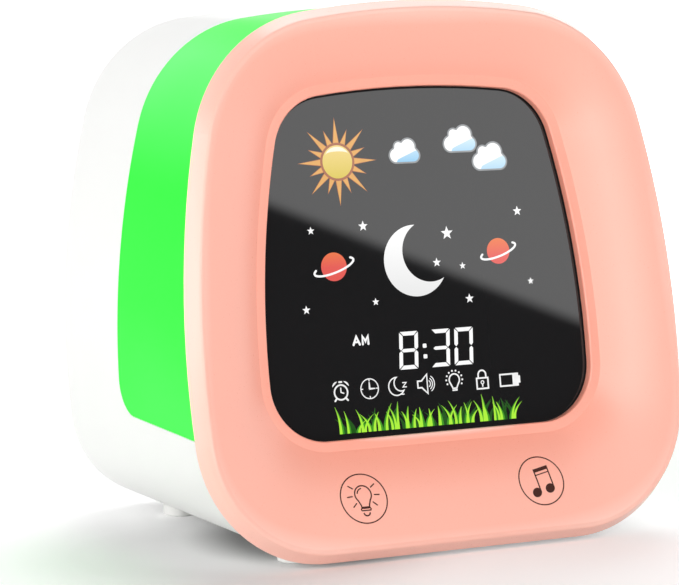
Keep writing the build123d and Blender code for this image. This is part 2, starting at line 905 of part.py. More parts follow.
with BuildPart() as case_screws:
    case_screw_length = well_floor + board_thickness + case_screw_grip - 2 * fit
    add(
        screws(
            upright(join_y + well_floor),
            case_screw_spots,
            case_screw_shank,
            case_screw_head,
            case_screw_head_height,
            case_screw_length,
            up=-1,
        )
    )
case_screws.part.label = "case_screws"
export_step(case_screws.part, "parts/case_screws.step")

with BuildPart() as display_screws:
    display_screw_length = board_thickness + small_grip - fit
    add(
        screws(
            behind(display_board_back),
            display_screw_spots,
            small_shank,
            small_head,
            small_head_height,
            display_screw_length,
            up=-1,
        )
    )
display_screws.part.label = "display_screws"
export_step(display_screws.part, "parts/display_screws.step")

with BuildPart() as control_board_screws:
    control_screw_length = board_thickness + small_grip - fit
    add(
        screws(
            upright(control_front_y),
            control_screw_spots,
            small_shank,
            small_head,
            small_head_height,
            control_screw_length,
        )
    )
control_board_screws.part.label = "control_board_screws"
export_step(control_board_screws.part, "parts/control_board_screws.step")

# ---------------------------------------------------------------- speaker
flange_inner = speaker_radius - speaker_flange
flange_top_y = speaker_flange_front + speaker_flange_thickness
basket_floor_y = speaker_flange_front - basket_depth
speaker_axis = Axis((0, 0, speaker_height), (0, 1, 0))

with BuildPart() as speaker_gasket:
    with BuildSketch(upright(inner_back_y)):
        with Locations((0, speaker_height)):
            Circle(speaker_radius)
            Circle(flange_inner, mode=Mode.SUBTRACT)
    extrude(amount=gasket_thickness)
speaker_gasket.part.label = "speaker_gasket"
export_step(speaker_gasket.part, "parts/speaker_gasket.step")

with BuildPart() as speaker_basket:
    with BuildSketch(Plane.XY.offset(speaker_height)):
        with BuildLine():
            Polyline(
                (speaker_radius, flange_top_y),
                (flange_inner, flange_top_y),
                (magnet_radius, basket_floor_y + basket_metal),
                (dust_cap_radius + fit, basket_floor_y + basket_metal),
                (dust_cap_radius + fit, basket_floor_y),
                (magnet_radius + basket_metal, basket_floor_y),
                (flange_inner + basket_metal, speaker_flange_front),
                (speaker_radius, speaker_flange_front),
                close=True,
            )
        make_face()
    revolve(axis=speaker_axis)
speaker_basket.part.label = "speaker_basket"
export_step(speaker_basket.part, "parts/speaker_basket.step")

with BuildPart() as speaker_magnet:
    with BuildSketch(upright(basket_floor_y)):
        with Locations((0, speaker_height)):
            Circle(magnet_radius)
    extrude(amount=magnet_depth)
    fillet(speaker_magnet.edges().group_by(Axis.Y)[0], basket_metal)
speaker_magnet.part.label = "speaker_magnet"
export_step(speaker_magnet.part, "parts/speaker_magnet.step")

with BuildPart() as speaker_cone:
    cone_edge = flange_inner - 2 * fit
    cone_foot_y = speaker_flange_front - basket_depth / 2
    cap_top_y = cone_foot_y + dust_cap_radius / 4
    with BuildSketch(Plane.XY.offset(speaker_height)):
        with BuildLine():
            Polyline(
                (cone_edge, flange_top_y),
                (cone_edge - cone_thickness, flange_top_y),
                (dust_cap_radius, cone_foot_y + cone_thickness),
            )
            Line(
                (dust_cap_radius, cone_foot_y + cone_thickness),
                (dust_cap_radius / 2, cap_top_y + cone_thickness),
            )
            Polyline(
                (dust_cap_radius / 2, cap_top_y + cone_thickness),
                (0, cap_top_y + cone_thickness),
                (0, cap_top_y),
                (dust_cap_radius / 2, cap_top_y),
                (dust_cap_radius - cone_thickness, cone_foot_y),
            )
            Polyline(
                (dust_cap_radius - cone_thickness, cone_foot_y),
                (dust_cap_radius - cone_thickness, basket_floor_y + rest_gap),
                (dust_cap_radius, basket_floor_y + rest_gap),
                (dust_cap_radius, cone_foot_y),
                (cone_edge, flange_top_y - cone_thickness),
                (cone_edge, flange_top_y),
            )
        make_face()
    revolve(axis=speaker_axis)
speaker_cone.part.label = "speaker_cone"
export_step(speaker_cone.part, "parts/speaker_cone.step")

with BuildPart() as speaker_screws:
    speaker_screw_length = small_grip - body_wall / 2 - fit
    add(
        screws(
            upright(speaker_flange_front),
            speaker_screw_spots,
            small_shank,
            speaker_washer,
            small_head_height,
            speaker_screw_length,
        )
    )
speaker_screws.part.label = "speaker_screws"
export_step(speaker_screws.part, "parts/speaker_screws.step")

# ---------------------------------------------------------------- battery
with BuildPart() as battery_cell:
    with BuildSketch(Plane.YZ.offset(-cell_length / 2)):
        with Locations((cell_y, cell_height)):
            Circle(cell_radius)
    extrude(amount=cell_length)
    fillet(battery_cell.edges(), fit)
battery_cell.part.label = "battery_cell"
export_step(battery_cell.part, "parts/battery_cell.step")

with BuildPart() as battery_strap:
    with BuildSketch(Plane.YZ.offset(-strap_width / 2)) as strap_side:
        with Locations((cell_y, cell_height)):
            Circle(cell_radius + cradle_gap + strap_thickness)
            Rectangle(beyond, beyond, align=(Align.CENTER, Align.MAX), mode=Mode.SUBTRACT)
            Rectangle(
                2 * (strap_post_offset + small_post),
                strap_thickness,
                align=(Align.CENTER, Align.MIN),
            )
            Circle(cell_radius + cradle_gap, mode=Mode.SUBTRACT)
    extrude(amount=strap_width)
    with BuildSketch(Plane.XY.offset(strap_seat_height)):
        with Locations(*strap_spots):
            Circle(small_shank + hole_gap)
    extrude(amount=strap_thickness, mode=Mode.SUBTRACT)
battery_strap.part.label = "battery_strap"
export_step(battery_strap.part, "parts/battery_strap.step")

with BuildPart() as battery_strap_screws:
    strap_screw_length = strap_thickness + small_grip - fit
    add(
        screws(
            Plane.XY.offset(strap_seat_height + strap_thickness),
            strap_spots,
            small_shank,
            small_head,
            small_head_height,
            strap_screw_length,
        )
    )
battery_strap_screws.part.label = "battery_strap_screws"
export_step(battery_strap_screws.part, "parts/battery_strap_screws.step")

# ---------------------------------------------------------------- chips, plugs and leads
with BuildPart() as display_driver:
    with BuildSketch(behind(display_board_back)):
        with Locations((0, driver_height)):
            Rectangle(driver_size[0], driver_size[1])
    extrude(amount=-driver_size[2])
display_driver.part.label = "display_driver"
export_step(display_driver.part, "parts/display_driver.step")

with BuildPart() as control_chips:
    with BuildSketch(upright(control_front_y)):
        with Locations(*chip_spots):
            Rectangle(chip_size[0], chip_size[1])
    extrude(amount=chip_size[2])
    with BuildSketch(upright(control_front_y)):
        with Locations(capacitor_spot):
            Circle(capacitor_radius)
    extrude(amount=capacitor_length)
control_chips.part.label = "control_chips"
export_step(control_chips.part, "parts/control_chips.step")

with BuildPart() as lead_plugs:
    with BuildSketch(upright(control_front_y)):
        with Locations(speaker_plug, battery_plug, light_plug):
            Rectangle(plug_size[0], plug_size[2])
    extrude(amount=plug_size[1])
    with BuildSketch(upright(join_y)):
        with Locations(light_board_plug):
            Rectangle(plug_size[0], plug_size[2])
    extrude(amount=-plug_size[1])
lead_plugs.part.label = "lead_plugs"
export_step(lead_plugs.part, "parts/lead_plugs.step")

with BuildPart() as ribbon_sockets:
    with BuildSketch(upright(control_front_y)):
        with Locations((0, ribbon_height)):
            Rectangle(ribbon_socket[0], ribbon_socket[1])
    extrude(amount=ribbon_socket[2])
    with BuildSketch(behind(display_board_back)):
        with Locations((0, ribbon_start)):
            Rectangle(ribbon_socket[0], ribbon_socket[1])
    extrude(amount=-ribbon_socket[2])
ribbon_sockets.part.label = "ribbon_sockets"
export_step(ribbon_sockets.part, "parts/ribbon_sockets.step")


def bend_radii(points):
    """A radius for each bend of a route, as large as the shorter run beside it allows."""
    radii = []
    for before, here, after in zip(points, points[1:], points[2:]):
        run_in = Vector(here) - Vector(before)
        run_out = Vector(after) - Vector(here)
        half_turn = radians(run_in.get_angle(run_out)) / 2
        radii.append(lead_bend_share * min(run_in.length, run_out.length) * cos(half_turn) / sin(half_turn))
    return radii


def lead(points, radius):
    """A round lead along straight runs joined by bends."""
    with BuildPart() as tube:
        with BuildLine() as route:
            FilletPolyline(*points, radius=bend_radii(points))
        with BuildSketch(Plane(origin=route.wire() @ 0, z_dir=route.wire() % 0)):
            Circle(radius)
        sweep()
    return tube.part


plug_middle_y = control_front_y - plug_size[1] / 2
lead_start = speaker_radius - lead_radius - fit
speaker_lead_height = speaker_height - sqrt(lead_start**2 - plug_size[0] ** 2)

with BuildPart() as speaker_leads:
    for side in (-lead_pair, lead_pair):
        add(
            lead(
                [
                    (plug_size[0] + side, speaker_flange_front, speaker_lead_height),
                    (plug_size[0] + side, speaker_flange_front - 5, speaker_lead_height),
                    (12 + side, plug_middle_y, 61 + side),
                    (speaker_plug[0] + side, plug_middle_y, 58 + side),
                    (speaker_plug[0] + side, plug_middle_y, speaker_plug[1] + plug_size[2] / 2),
                ],
                lead_radius,
            )
        )
speaker_leads.part.label = "speaker_leads"
export_step(speaker_leads.part, "parts/speaker_leads.step")

with BuildPart() as battery_leads:
    cell_end = cell_length / 2
    add(
        lead(
            [
                (cell_end, cell_y, cell_height),
                (cell_end + 4.5, cell_y, cell_height),
                (cell_end + 4, 22, 23),
                (cell_end + 1, plug_middle_y, battery_plug[1]),
                (battery_plug[0] + plug_size[0] / 2, plug_middle_y, battery_plug[1]),
            ],
            lead_radius,
        )
    )
    add(
        lead(
            [
                (-cell_end, cell_y, cell_height),
                (-cell_end - 4.5, cell_y, cell_height),
                (-cell_end - 2, 24, 21),
                (-18, 29.5, 24),
                (4, 29, 25),
                (13, plug_middle_y, battery_plug[1]),
                (battery_plug[0] - plug_size[0] / 2, plug_middle_y, battery_plug[1]),
            ],
            lead_radius,
        )
    )
battery_leads.part.label = "battery_leads"
export_step(battery_leads.part, "parts/battery_leads.step")

with BuildPart() as light_leads:
    for side in (-lead_pair, lead_pair):
        add(
            lead(
                [
                    (light_board_plug[0], join_y + plug_size[1], light_board_plug[1] + side),
                    (light_board_plug[0], 12, light_board_plug[1] + side),
                    (-44, 26, 50 + side),
                    (-35, plug_middle_y, light_plug[1] + side),
                    (light_plug[0] - plug_size[0] / 2, plug_middle_y, light_plug[1] + side),
                ],
                lead_radius,
            )
        )
light_leads.part.label = "light_leads"
export_step(light_leads.part, "parts/light_leads.step")

ribbon_start_point = behind(display_board_back + ribbon_socket[2]).from_local_coords((0, ribbon_start, 0))
ribbon_out_point = behind(display_board_back + 4 * ribbon_socket[2]).from_local_coords((0, ribbon_start, 0))

with BuildPart() as display_ribbon:
    with BuildSketch(Plane.YZ.offset(-ribbon_width / 2)):
        with BuildLine():
            ribbon_points = [
                (ribbon_start_point.Y, ribbon_start_point.Z),
                (ribbon_out_point.Y, ribbon_out_point.Z),
                (0, 37),
                (20, 38),
                (control_front_y - 3 * ribbon_socket[2], ribbon_height),
                (control_front_y - ribbon_socket[2], ribbon_height),
            ]
            FilletPolyline(*ribbon_points, radius=bend_radii(ribbon_points))
        trace(line_width=ribbon_thickness)
    extrude(amount=ribbon_width)
display_ribbon.part.label = "display_ribbon"
export_step(display_ribbon.part, "parts/display_ribbon.step")

with BuildPart() as touch_leads:
    for spot in touch_spots:
        pad_back = touch_plane(spot, touch_pad_thickness)
        loop_plane = behind(display_board_back + touch_lead_loop)
        add(
            lead(
                [
                    pad_back.origin,
                    pad_back.offset(-touch_lead_loop).origin,
                    behind(display_board_front).from_local_coords((spot[0], spot[1] - 1, 0)),
                    loop_plane.from_local_coords((spot[0], spot[1] + 2, 0)),
                    loop_plane.from_local_coords((spot[0], touch_lead_end, 0)),
                    behind(display_board_back).from_local_coords((spot[0], touch_lead_end, 0)),
                ],
                touch_lead_radius,
            )
        )
touch_leads.part.label = "touch_leads"
export_step(touch_leads.part, "parts/touch_leads.step")
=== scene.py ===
import random
from math import atan2, cos, degrees, pi, radians, sin

import bmesh
import bpy
from bpy.props import FloatProperty, FloatVectorProperty, IntProperty, PointerProperty
from bpy.types import Operator, Panel, PropertyGroup
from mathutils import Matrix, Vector
from mathutils.bvhtree import BVHTree
from mathutils.geometry import tessellate_polygon


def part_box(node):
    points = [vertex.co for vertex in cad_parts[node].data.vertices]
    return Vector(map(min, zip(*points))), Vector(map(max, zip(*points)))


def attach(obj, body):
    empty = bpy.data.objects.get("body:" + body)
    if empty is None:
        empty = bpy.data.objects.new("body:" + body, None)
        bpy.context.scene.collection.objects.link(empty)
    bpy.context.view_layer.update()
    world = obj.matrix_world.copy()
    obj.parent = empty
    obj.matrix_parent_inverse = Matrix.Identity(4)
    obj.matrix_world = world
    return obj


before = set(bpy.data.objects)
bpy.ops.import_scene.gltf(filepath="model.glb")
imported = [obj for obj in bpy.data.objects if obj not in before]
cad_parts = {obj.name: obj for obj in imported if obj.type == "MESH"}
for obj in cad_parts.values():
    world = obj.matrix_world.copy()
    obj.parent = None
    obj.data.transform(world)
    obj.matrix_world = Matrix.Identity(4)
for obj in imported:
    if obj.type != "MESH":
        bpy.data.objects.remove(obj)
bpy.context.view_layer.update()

bl_info = {
    "name": "Bedside Night-Light Clock",
    "version": (1, 0, 0),
    "blender": (4, 5, 0),
    "location": "View3D > Sidebar > Clock",
    "description": "Finishes, pictures, marks and studio of a child's bedside clock with a night-light band",
    "category": "Object",
}

MM = 0.001


def linear(code):
    """An sRGB hex colour as the linear RGBA that shaders take."""
    parts = [int(code[i : i + 2], 16) / 255 for i in (0, 2, 4)]
    return tuple(c / 12.92 if c <= 0.04045 else ((c + 0.055) / 1.055) ** 2.4 for c in parts) + (1.0,)


# ---------------------------------------------------------------- settings


def length(name, description, millimetres):
    """A length setting, given in millimetres and kept in metres."""
    return FloatProperty(
        name=name, description=description, default=millimetres * MM, unit="LENGTH", precision=5
    )


def colour(name, description, code):
    """A colour setting, given as sRGB hex."""
    return FloatVectorProperty(
        name=name, description=description, default=linear(code)[:3], subtype="COLOR", size=3, min=0, max=1
    )


class ClockSizes(PropertyGroup):
    """Where the face lies, and how large its pictures and marks are."""

    lean: FloatProperty(
        name="Lean", description="How far the face leans back", default=radians(9.94), subtype="ANGLE"
    )
    face_y: length("Face offset", "Middle of the face along Y, on the plane of its crest", -39.15)
    face_z: length("Face height", "Middle of the face over the table", 64.9)
    window_depth: length("Window depth", "Front of the window behind the crest", 9.8)
    picture_lift: length("Picture lift", "How far a lit picture stands over the window", 0.03)
    # The dark gasket is a painted shadow: a black ring where the joint round the window lies in shade
    painted_shadow_gasket_width: length("Gasket width", "Width of the dark gasket round the window", 0.4)
    digit_width: length("Digit width", "Width of one digit of the readout", 5.1)
    digit_height: length("Digit height", "Height of one digit of the readout", 9.0)
    segment_width: length("Segment width", "Width of a lit segment", 0.95)
    icon_line: length("Icon line", "Width of the lines that icons are drawn with", 0.3)
    icon_pitch: length("Icon pitch", "Distance from icon to icon in the status row", 7.7)
    moon_radius: length("Moon radius", "Radius of the crescent moon", 8.6)
    sun_radius: length("Sun radius", "Radius of the sun's disc", 4.3)
    mark_radius: length("Touch mark radius", "Radius of the printed ring of a touch mark", 6.05)
    mark_line: length("Touch mark line", "Width of the printed lines of a touch mark", 0.3)
    key_line: length("Key symbol line", "Width of the printed lines on a key", 0.3)
    blade_count: IntProperty(
        name="Blades", description="Blades of grass in the meadow strip", default=105, min=1, max=400
    )


class ClockColours(PropertyGroup):
    """Colours of the case, the light and the pictures."""

    bezel: colour("Bezel", "Coral of the moulded bezel", "FFB29E")
    # The next three colours are painted light on the bezel: painted shade round the display, a painted
    # highlight on the straight edge of the opening, and a painted highlight on the thin rim
    bezel_painted_shade: colour("Bezel by the display", "Coral of the bezel round the display", "FFA48D")
    bezel_painted_edge_highlight: colour("Bezel edge", "Coral of the straight edge of the opening", "FFDACF")
    bezel_painted_rim_highlight: colour("Bezel rim", "Coral of the bezel's thin rim", "FFC7B7")
    shell: colour("Shell", "White of the back shell", "F7F7F5")
    window: colour("Window", "Smoked acrylic of the display", "1F1F20")
    band: colour("Band", "Night-light band, away from its lamps", "12F02A")
    band_bright: colour("Band near lamps", "Night-light band, close to its lamps", "62FF72")
    foot: colour("Feet", "Milky silicone of the feet", "F0F0ED")
    mark: colour("Touch marks", "Ink of the two touch marks", "3A1409")
    lit_white: colour("Lit white", "White of the lit pictures", "FFFFFF")


def sizes():
    """The clock's sizes."""
    return bpy.context.scene.clock_sizes


def colours():
    """The clock's colours."""
    return bpy.context.scene.clock_colours


# ---------------------------------------------------------------- materials

SOFT = {"interpolation_type": "SMOOTHSTEP"}
WHITE = linear("FFFFFF")


def feed(made, **inputs):
    """Sets inputs of a node to values, outputs or nodes. Of a node, the first output in use is taken."""
    for name, value in inputs.items():
        socket = made.inputs[int(name[1:]) if name[1:].isdigit() else name.replace("_", " ")]
        if isinstance(value, bpy.types.Node):
            value = next(output for output in value.outputs if output.enabled)
        if isinstance(value, bpy.types.NodeSocket):
            made.id_data.links.new(value, socket)
        else:
            socket.default_value = value


def node(tree, kind, settings=None, **inputs):
    """Adds a shader node with its settings, or the name of its operation, and feeds its inputs."""
    made = tree.nodes.new("ShaderNode" + kind)
    if isinstance(settings, str):
        settings = {"operation": settings}
    for name, value in (settings or {}).items():
        setattr(made, name, value)
    feed(made, **inputs)
    return made


def set_stops(ramp, *stops):
    """Gives a colour ramp its stops, each a position and a colour, from low to high."""
    elements = ramp.color_ramp.elements
    for element, (position, tone) in zip((elements[0], elements[1]), (stops[0], stops[-1])):
        element.position = position
        element.color = (*tone[:3], 1)
    for position, tone in stops[1:-1]:
        elements.new(position).color = (*tone[:3], 1)


def surface(name, base, roughness, ior=1.5, **inputs):
    """A material with a principled shader. Returns the material, its tree and the shader."""
    made = bpy.data.materials.new(name)
    made.use_nodes = True
    tree = made.node_tree
    shader = tree.nodes["Principled BSDF"]
    feed(shader, Base_Color=(*base[:3], 1), Roughness=roughness, IOR=ior, **inputs)
    return made, tree, shader


def per_mm(millimetres):
    """Scale of a pattern in object coordinates, whose features are that many millimetres apart."""
    return 1 / (millimetres * MM)


def grain(tree, shader, feature, height, spread):
    """Fine relief and uneven gloss of a skin, with its features and their height in millimetres.

    Moulds, plating and ink leave a texture of 0.02 to 0.2 mm, which is too fine to show, so it is drawn
    coarser.
    """
    place = node(tree, "TexCoord").outputs["Object"]
    noise = node(tree, "TexNoise", Vector=place, Scale=per_mm(feature), Detail=3.0)
    bump = node(tree, "Bump", Height=noise, Distance=height * MM, Strength=0.6)
    middle = shader.inputs["Roughness"].default_value
    low, high = max(middle - spread, 0.0), min(middle + spread, 1.0)
    gloss = node(tree, "MapRange", Value=noise, i1=0.3, i2=0.7, i3=low, i4=high)
    feed(shader, Normal=bump, Roughness=gloss)


def tint(tree, shader, base, other, feature):
    """Slow drift of the base colour towards another, in patches of that size in millimetres."""
    place = node(tree, "TexCoord").outputs["Object"]
    noise = node(tree, "TexNoise", Vector=place, Scale=per_mm(feature), Detail=2.0)
    drift = node(tree, "ValToRGB", Fac=noise)
    set_stops(drift, (0.35, base), (0.75, other))
    feed(shader, Base_Color=drift)


def shade(base, factor):
    """A colour made darker or lighter by a factor."""
    return tuple(min(1.0, c * factor) for c in base[:3])


def satin_abs(name, base, roughness, **inputs):
    """Injection-moulded ABS: a satin skin that spark-eroded steel leaves, with a soft broad highlight."""
    made, tree, shader = surface(name, base, roughness, ior=1.54, **inputs)
    # Its texture of 0.1 mm is drawn at 0.35 mm
    grain(tree, shader, 0.35, 0.0025, 0.03)
    return made, tree, shader


def moulded_abs(name, base, roughness, **inputs):
    """Satin ABS of one colour, with a drift too slow to see as patches."""
    made, tree, shader = satin_abs(name, base, roughness, **inputs)
    tint(tree, shader, base, shade(base, 0.985), 40.0)
    return made


def coral_abs():
    """Satin coral ABS with painted light: a painted highlight on the edge of the opening, painted shade round
    it, and a painted highlight on the thin rim.
    """
    tones = colours()
    made, tree, shader = satin_abs("moulded_coral_abs_with_painted_light", tones.bezel, 0.3)
    low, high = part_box("front_bezel")
    middle = [(a + b) / 2 for a, b in zip(low, high)]
    across = [2 / (b - a) for a, b in zip(low, high)]
    # How far out a point lies, from 0 at the middle to 1 at the rim, along lines that follow the bezel's
    # round corners. The lines are rounder with less squareness, and close in by that part at the top.
    squareness, closing = 3.9, 0.08
    place = node(tree, "TexCoord").outputs["Object"]
    from_middle = node(tree, "VectorMath", "SUBTRACT", i0=place, i1=middle)
    scaled = node(tree, "VectorMath", "MULTIPLY", i0=from_middle, i1=across)
    signed = node(tree, "SeparateXYZ", Vector=scaled)
    unsigned = node(tree, "SeparateXYZ", Vector=node(tree, "VectorMath", "ABSOLUTE", i0=scaled))
    narrower = node(tree, "Math", "MULTIPLY_ADD", i0=signed.outputs["Z"], i1=closing, i2=1.0)
    level = node(tree, "Math", "MULTIPLY", i0=unsigned.outputs["X"], i1=narrower)
    wide = node(tree, "Math", "POWER", i0=level, i1=squareness)
    tall = node(tree, "Math", "POWER", i0=unsigned.outputs["Z"], i1=squareness)
    both = node(tree, "Math", "ADD", i0=wide, i1=tall)
    out = node(tree, "Math", "POWER", i0=both, i1=1 / squareness)
    # Painted light by how far out a point lies: a painted highlight on the edge of the opening, painted shade
    # round the display, the plain coral, then a painted highlight on the rim
    tone = node(tree, "ValToRGB", Fac=out)
    set_stops(
        tone,
        (0.572, tones.bezel_painted_edge_highlight),
        (0.6, tones.bezel_painted_shade),
        (0.78, tones.bezel),
        (0.91, tones.bezel),
        (0.965, tones.bezel_painted_rim_highlight),
    )
    feed(shader, Base_Color=tone)
    return made


def milky_polycarbonate():
    """Injection-moulded opal polycarbonate, lit from inside: an even saturated glow, paler by the lamps."""
    tones = colours()
    made, tree, shader = surface(
        "lit_opal_polycarbonate", tones.band, 0.45, ior=1.585, Specular_IOR_Level=0.12, Emission_Strength=0.3
    )
    # Its texture of 0.1 mm is drawn at 0.35 mm
    grain(tree, shader, 0.35, 0.004, 0.03)
    place = node(tree, "TexCoord").outputs["Object"]
    height = node(tree, "SeparateXYZ", Vector=place).outputs["Z"]
    # Between heights over the table, in metres, it turns paler upwards and, less, downwards. The crown is
    # furthest from the lamps and has the band's own colour again.
    top = node(tree, "MapRange", SOFT, Value=height, i1=0.085, i2=0.118)
    foot = node(tree, "MapRange", SOFT, Value=height, i1=0.062, i2=0.03)
    crown = node(tree, "MapRange", SOFT, Value=height, i1=0.117, i2=0.127, i3=1.0, i4=0.0)
    low = node(tree, "Math", "MULTIPLY", i0=foot, i1=0.4)
    both = node(tree, "Math", "ADD", i0=top, i1=low)
    held = node(tree, "Math", "MULTIPLY", i0=both, i1=crown)
    patches = node(tree, "TexNoise", Vector=place, Scale=per_mm(55.0), Detail=1.0)
    uneven = node(tree, "Math", "MULTIPLY", i0=held, i1=patches)
    near = node(tree, "Math", {"operation": "MULTIPLY", "use_clamp": True}, i0=uneven, i1=1.5)
    glow = node(tree, "ValToRGB", Fac=near)
    set_stops(glow, (0.0, tones.band), (1.0, tones.band_bright))
    feed(shader, Base_Color=glow, Emission_Color=glow)
    return made


def smoked_acrylic():
    """Cast and polished smoked acrylic: near black, with mirror-like reflections and faint wipe marks."""
    made, tree, shader = surface("polished_smoked_acrylic", colours().window, 0.03, ior=1.49)
    place = node(tree, "TexCoord").outputs["Object"]
    # Wipe marks are 30 mm long, less than a third as high, and slant a little
    wipes = node(tree, "Mapping", Vector=place, Scale=(1.0, 1.0, 3.5), Rotation=(0.0, 0.5, 0.0))
    noise = node(tree, "TexNoise", Vector=wipes, Scale=per_mm(30.0), Detail=4.0)
    gloss = node(tree, "MapRange", Value=noise, i1=0.35, i2=0.75, i3=0.018, i4=0.028)
    feed(shader, Roughness=gloss)
    return made


def moulded_silicone():
    """Compression-moulded silicone rubber: milky, soft and almost without shine."""
    made, tree, shader = surface("moulded_silicone", colours().foot, 0.55, ior=1.43, Subsurface_Weight=0.25)
    feed(shader, Subsurface_Radius=(4 * MM, 4 * MM, 4 * MM))
    grain(tree, shader, 0.6, 0.01, 0.05)
    return made


def lit_film(name, top, foot=None, low=0.0, high=1.0):
    """Printed film with a lamp behind it, seen through the window: flat bright colour with faint specks.

    With a colour for its foot it has a gradient instead, between two heights over the table in metres.
    """
    made, tree, shader = surface(name, linear("1A1A1A"), 0.12, ior=1.49, Emission_Strength=1.0)
    place = node(tree, "TexCoord").outputs["Object"]
    if foot:
        height = node(tree, "SeparateXYZ", Vector=place).outputs["Z"]
        grade = node(tree, "ValToRGB", Fac=node(tree, "MapRange", Value=height, i1=low, i2=high))
        set_stops(grade, (0.0, foot), (1.0, top))
    else:
        specks = node(tree, "TexNoise", Vector=place, Scale=per_mm(2.5), Detail=1.0)
        grade = node(tree, "ValToRGB", Fac=specks)
        set_stops(grade, (0.3, shade(top, 0.93)), (0.5, top))
    feed(shader, Emission_Color=grade)
    return made


def pad_ink(name, base):
    """Pad-printed ink: thin, matt and opaque, with a faintly uneven gloss."""
    made, tree, shader = surface(name, base, 0.6, Specular_IOR_Level=0.2)
    grain(tree, shader, 0.5, 0.002, 0.08)
    return made


def plated_steel(name, code, roughness):
    """Formed steel with a bright plating of zinc or nickel: grey metal with a fine uneven gloss."""
    made, tree, shader = surface(name, linear(code), roughness, Metallic=1.0)
    grain(tree, shader, 0.4, 0.004, 0.1)
    return made


def solder_mask():
    """Glass-epoxy board under green solder mask: glossy lacquer over the faint weave of the cloth."""
    base = linear("1E5B3A")
    made, tree, shader = surface("solder_masked_glass_epoxy", base, 0.25, ior=1.55)
    place = node(tree, "TexCoord").outputs["Object"]
    # A brick of this pattern is half its scale wide, so the threads lie 0.4 mm apart
    weave = node(tree, "TexBrick", Vector=place, Scale=per_mm(0.8), Mortar_Size=0.05)
    bump = node(tree, "Bump", Height=weave.outputs["Fac"], Distance=0.01 * MM, Strength=0.3)
    feed(shader, Normal=bump)
    tint(tree, shader, base, shade(base, 0.7), 8.0)
    return made


def plain(name, code, roughness, ior=1.5, feature=0.5, height=0.006, metallic=0.0, **inputs):
    """A skin of one colour with a slight drift and its own fine relief."""
    base = linear(code)
    made, tree, shader = surface(name, base, roughness, ior=ior, Metallic=metallic, **inputs)
    grain(tree, shader, feature, height, 0.05)
    tint(tree, shader, base, shade(base, 0.9), 12.0)
    return made


def dress(material, *names):
    """Gives CAD nodes a material in place of the one they came with."""
    for name in names:
        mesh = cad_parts[name].data
        mesh.materials.clear()
        mesh.materials.append(material)


# ---------------------------------------------------------------- drawing


def circle(x, y, radius, steps=48, tall=None):
    """The points of a circle, or with a second radius of an ellipse."""
    return arc(x, y, radius, 0, 360 - 360 / steps, steps, tall)


def arc(x, y, radius, start, end, steps=24, tall=None):
    """Points along an arc, from one angle in degrees to another."""
    turns = [radians(start + (end - start) * i / (steps - 1)) for i in range(steps)]
    return [(x + radius * cos(t), y + (tall or radius) * sin(t)) for t in turns]


def moved(points, x, y, scale=1.0, turn=0.0):
    """Points turned by degrees, scaled and moved."""
    c, s = cos(radians(turn)) * scale, sin(radians(turn)) * scale
    return [(x + c * p[0] - s * p[1], y + s * p[0] + c * p[1]) for p in points]


def pen(points, width, closed=False, round_ends=True):
    """The outline of a line of that width along points, as the loops of one shape."""
    path = [Vector(p[:2]) for p in points]
    half = width / 2
    count = len(path)
    runs = count if closed else count - 1
    sides = []
    for i in range(runs):
        along = (path[(i + 1) % count] - path[i]).normalized()
        sides.append(Vector((-along.y, along.x)))
    left, right = [], []
    for i in range(count):
        before = sides[i - 1] if closed or i else sides[0]
        after = sides[i] if closed or i < runs else sides[-1]
        middle = (before + after).normalized()
        reach = half / max(middle.dot(after), 0.5)
        left.append(tuple(path[i] + middle * reach))
        right.append(tuple(path[i] - middle * reach))
    if closed:
        return [left, right]
    if not round_ends:
        return [left + right[::-1]]
    far, near = sides[-1], sides[0]
    far_turn = Vector((1, 0)).angle_signed(far) * -180 / pi
    near_turn = Vector((1, 0)).angle_signed(near) * -180 / pi
    far_cap = arc(path[-1].x, path[-1].y, half, far_turn, far_turn - 180, 7)[1:-1]
    near_cap = arc(path[0].x, path[0].y, half, near_turn + 180, near_turn, 7)[1:-1]
    return [left + far_cap + right[::-1] + near_cap]


def ring(x, y, radius, width, steps=48):
    """A ring drawn with a line of that width, as the loops of one shape."""
    return [circle(x, y, radius + width / 2, steps), circle(x, y, radius - width / 2, steps)]


def crescent(x, y, radius, bite, shift, turn):
    """A crescent: a disc of one radius less a disc of another, shifted along its own X."""
    meet = (radius * radius - bite * bite + shift * shift) / (2 * shift)
    half = (radius * radius - meet * meet) ** 0.5
    outer = degrees(atan2(half, meet))
    inner = degrees(atan2(half, meet - shift))
    steps = 40
    points = arc(0, 0, radius, outer, 360 - outer, steps)
    points += arc(shift, 0, bite, 360 - inner, inner, steps)[1:-1]
    return [moved(points, x, y, 1.0, turn)]


def star(x, y, radius):
    """A star with five points, one of them at its top."""
    inner = radius * 0.42
    corners = []
    for i in range(10):
        reach = inner if i % 2 else radius
        angle = radians(90 + 36 * i)
        corners.append((x + reach * cos(angle), y + reach * sin(angle)))
    return [corners]


def face_place(depth):
    """A function that turns a point of the face's own plane, at that depth, into a place in the scene."""
    size = sizes()
    across = Vector((1, 0, 0))
    up = Vector((0, sin(size.lean), cos(size.lean)))
    out = Vector((0, -cos(size.lean), sin(size.lean)))
    middle = Vector((0, size.face_y, size.face_z))

    def place(x, y, lift):
        return middle + across * x * MM + up * y * MM + out * (lift - depth)

    return place


def bezel_tree():
    """The bezel's surface, to cast rays at."""
    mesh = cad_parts["front_bezel"].data
    corners = [vertex.co.copy() for vertex in mesh.vertices]
    return BVHTree.FromPolygons(corners, [tuple(face.vertices) for face in mesh.polygons])


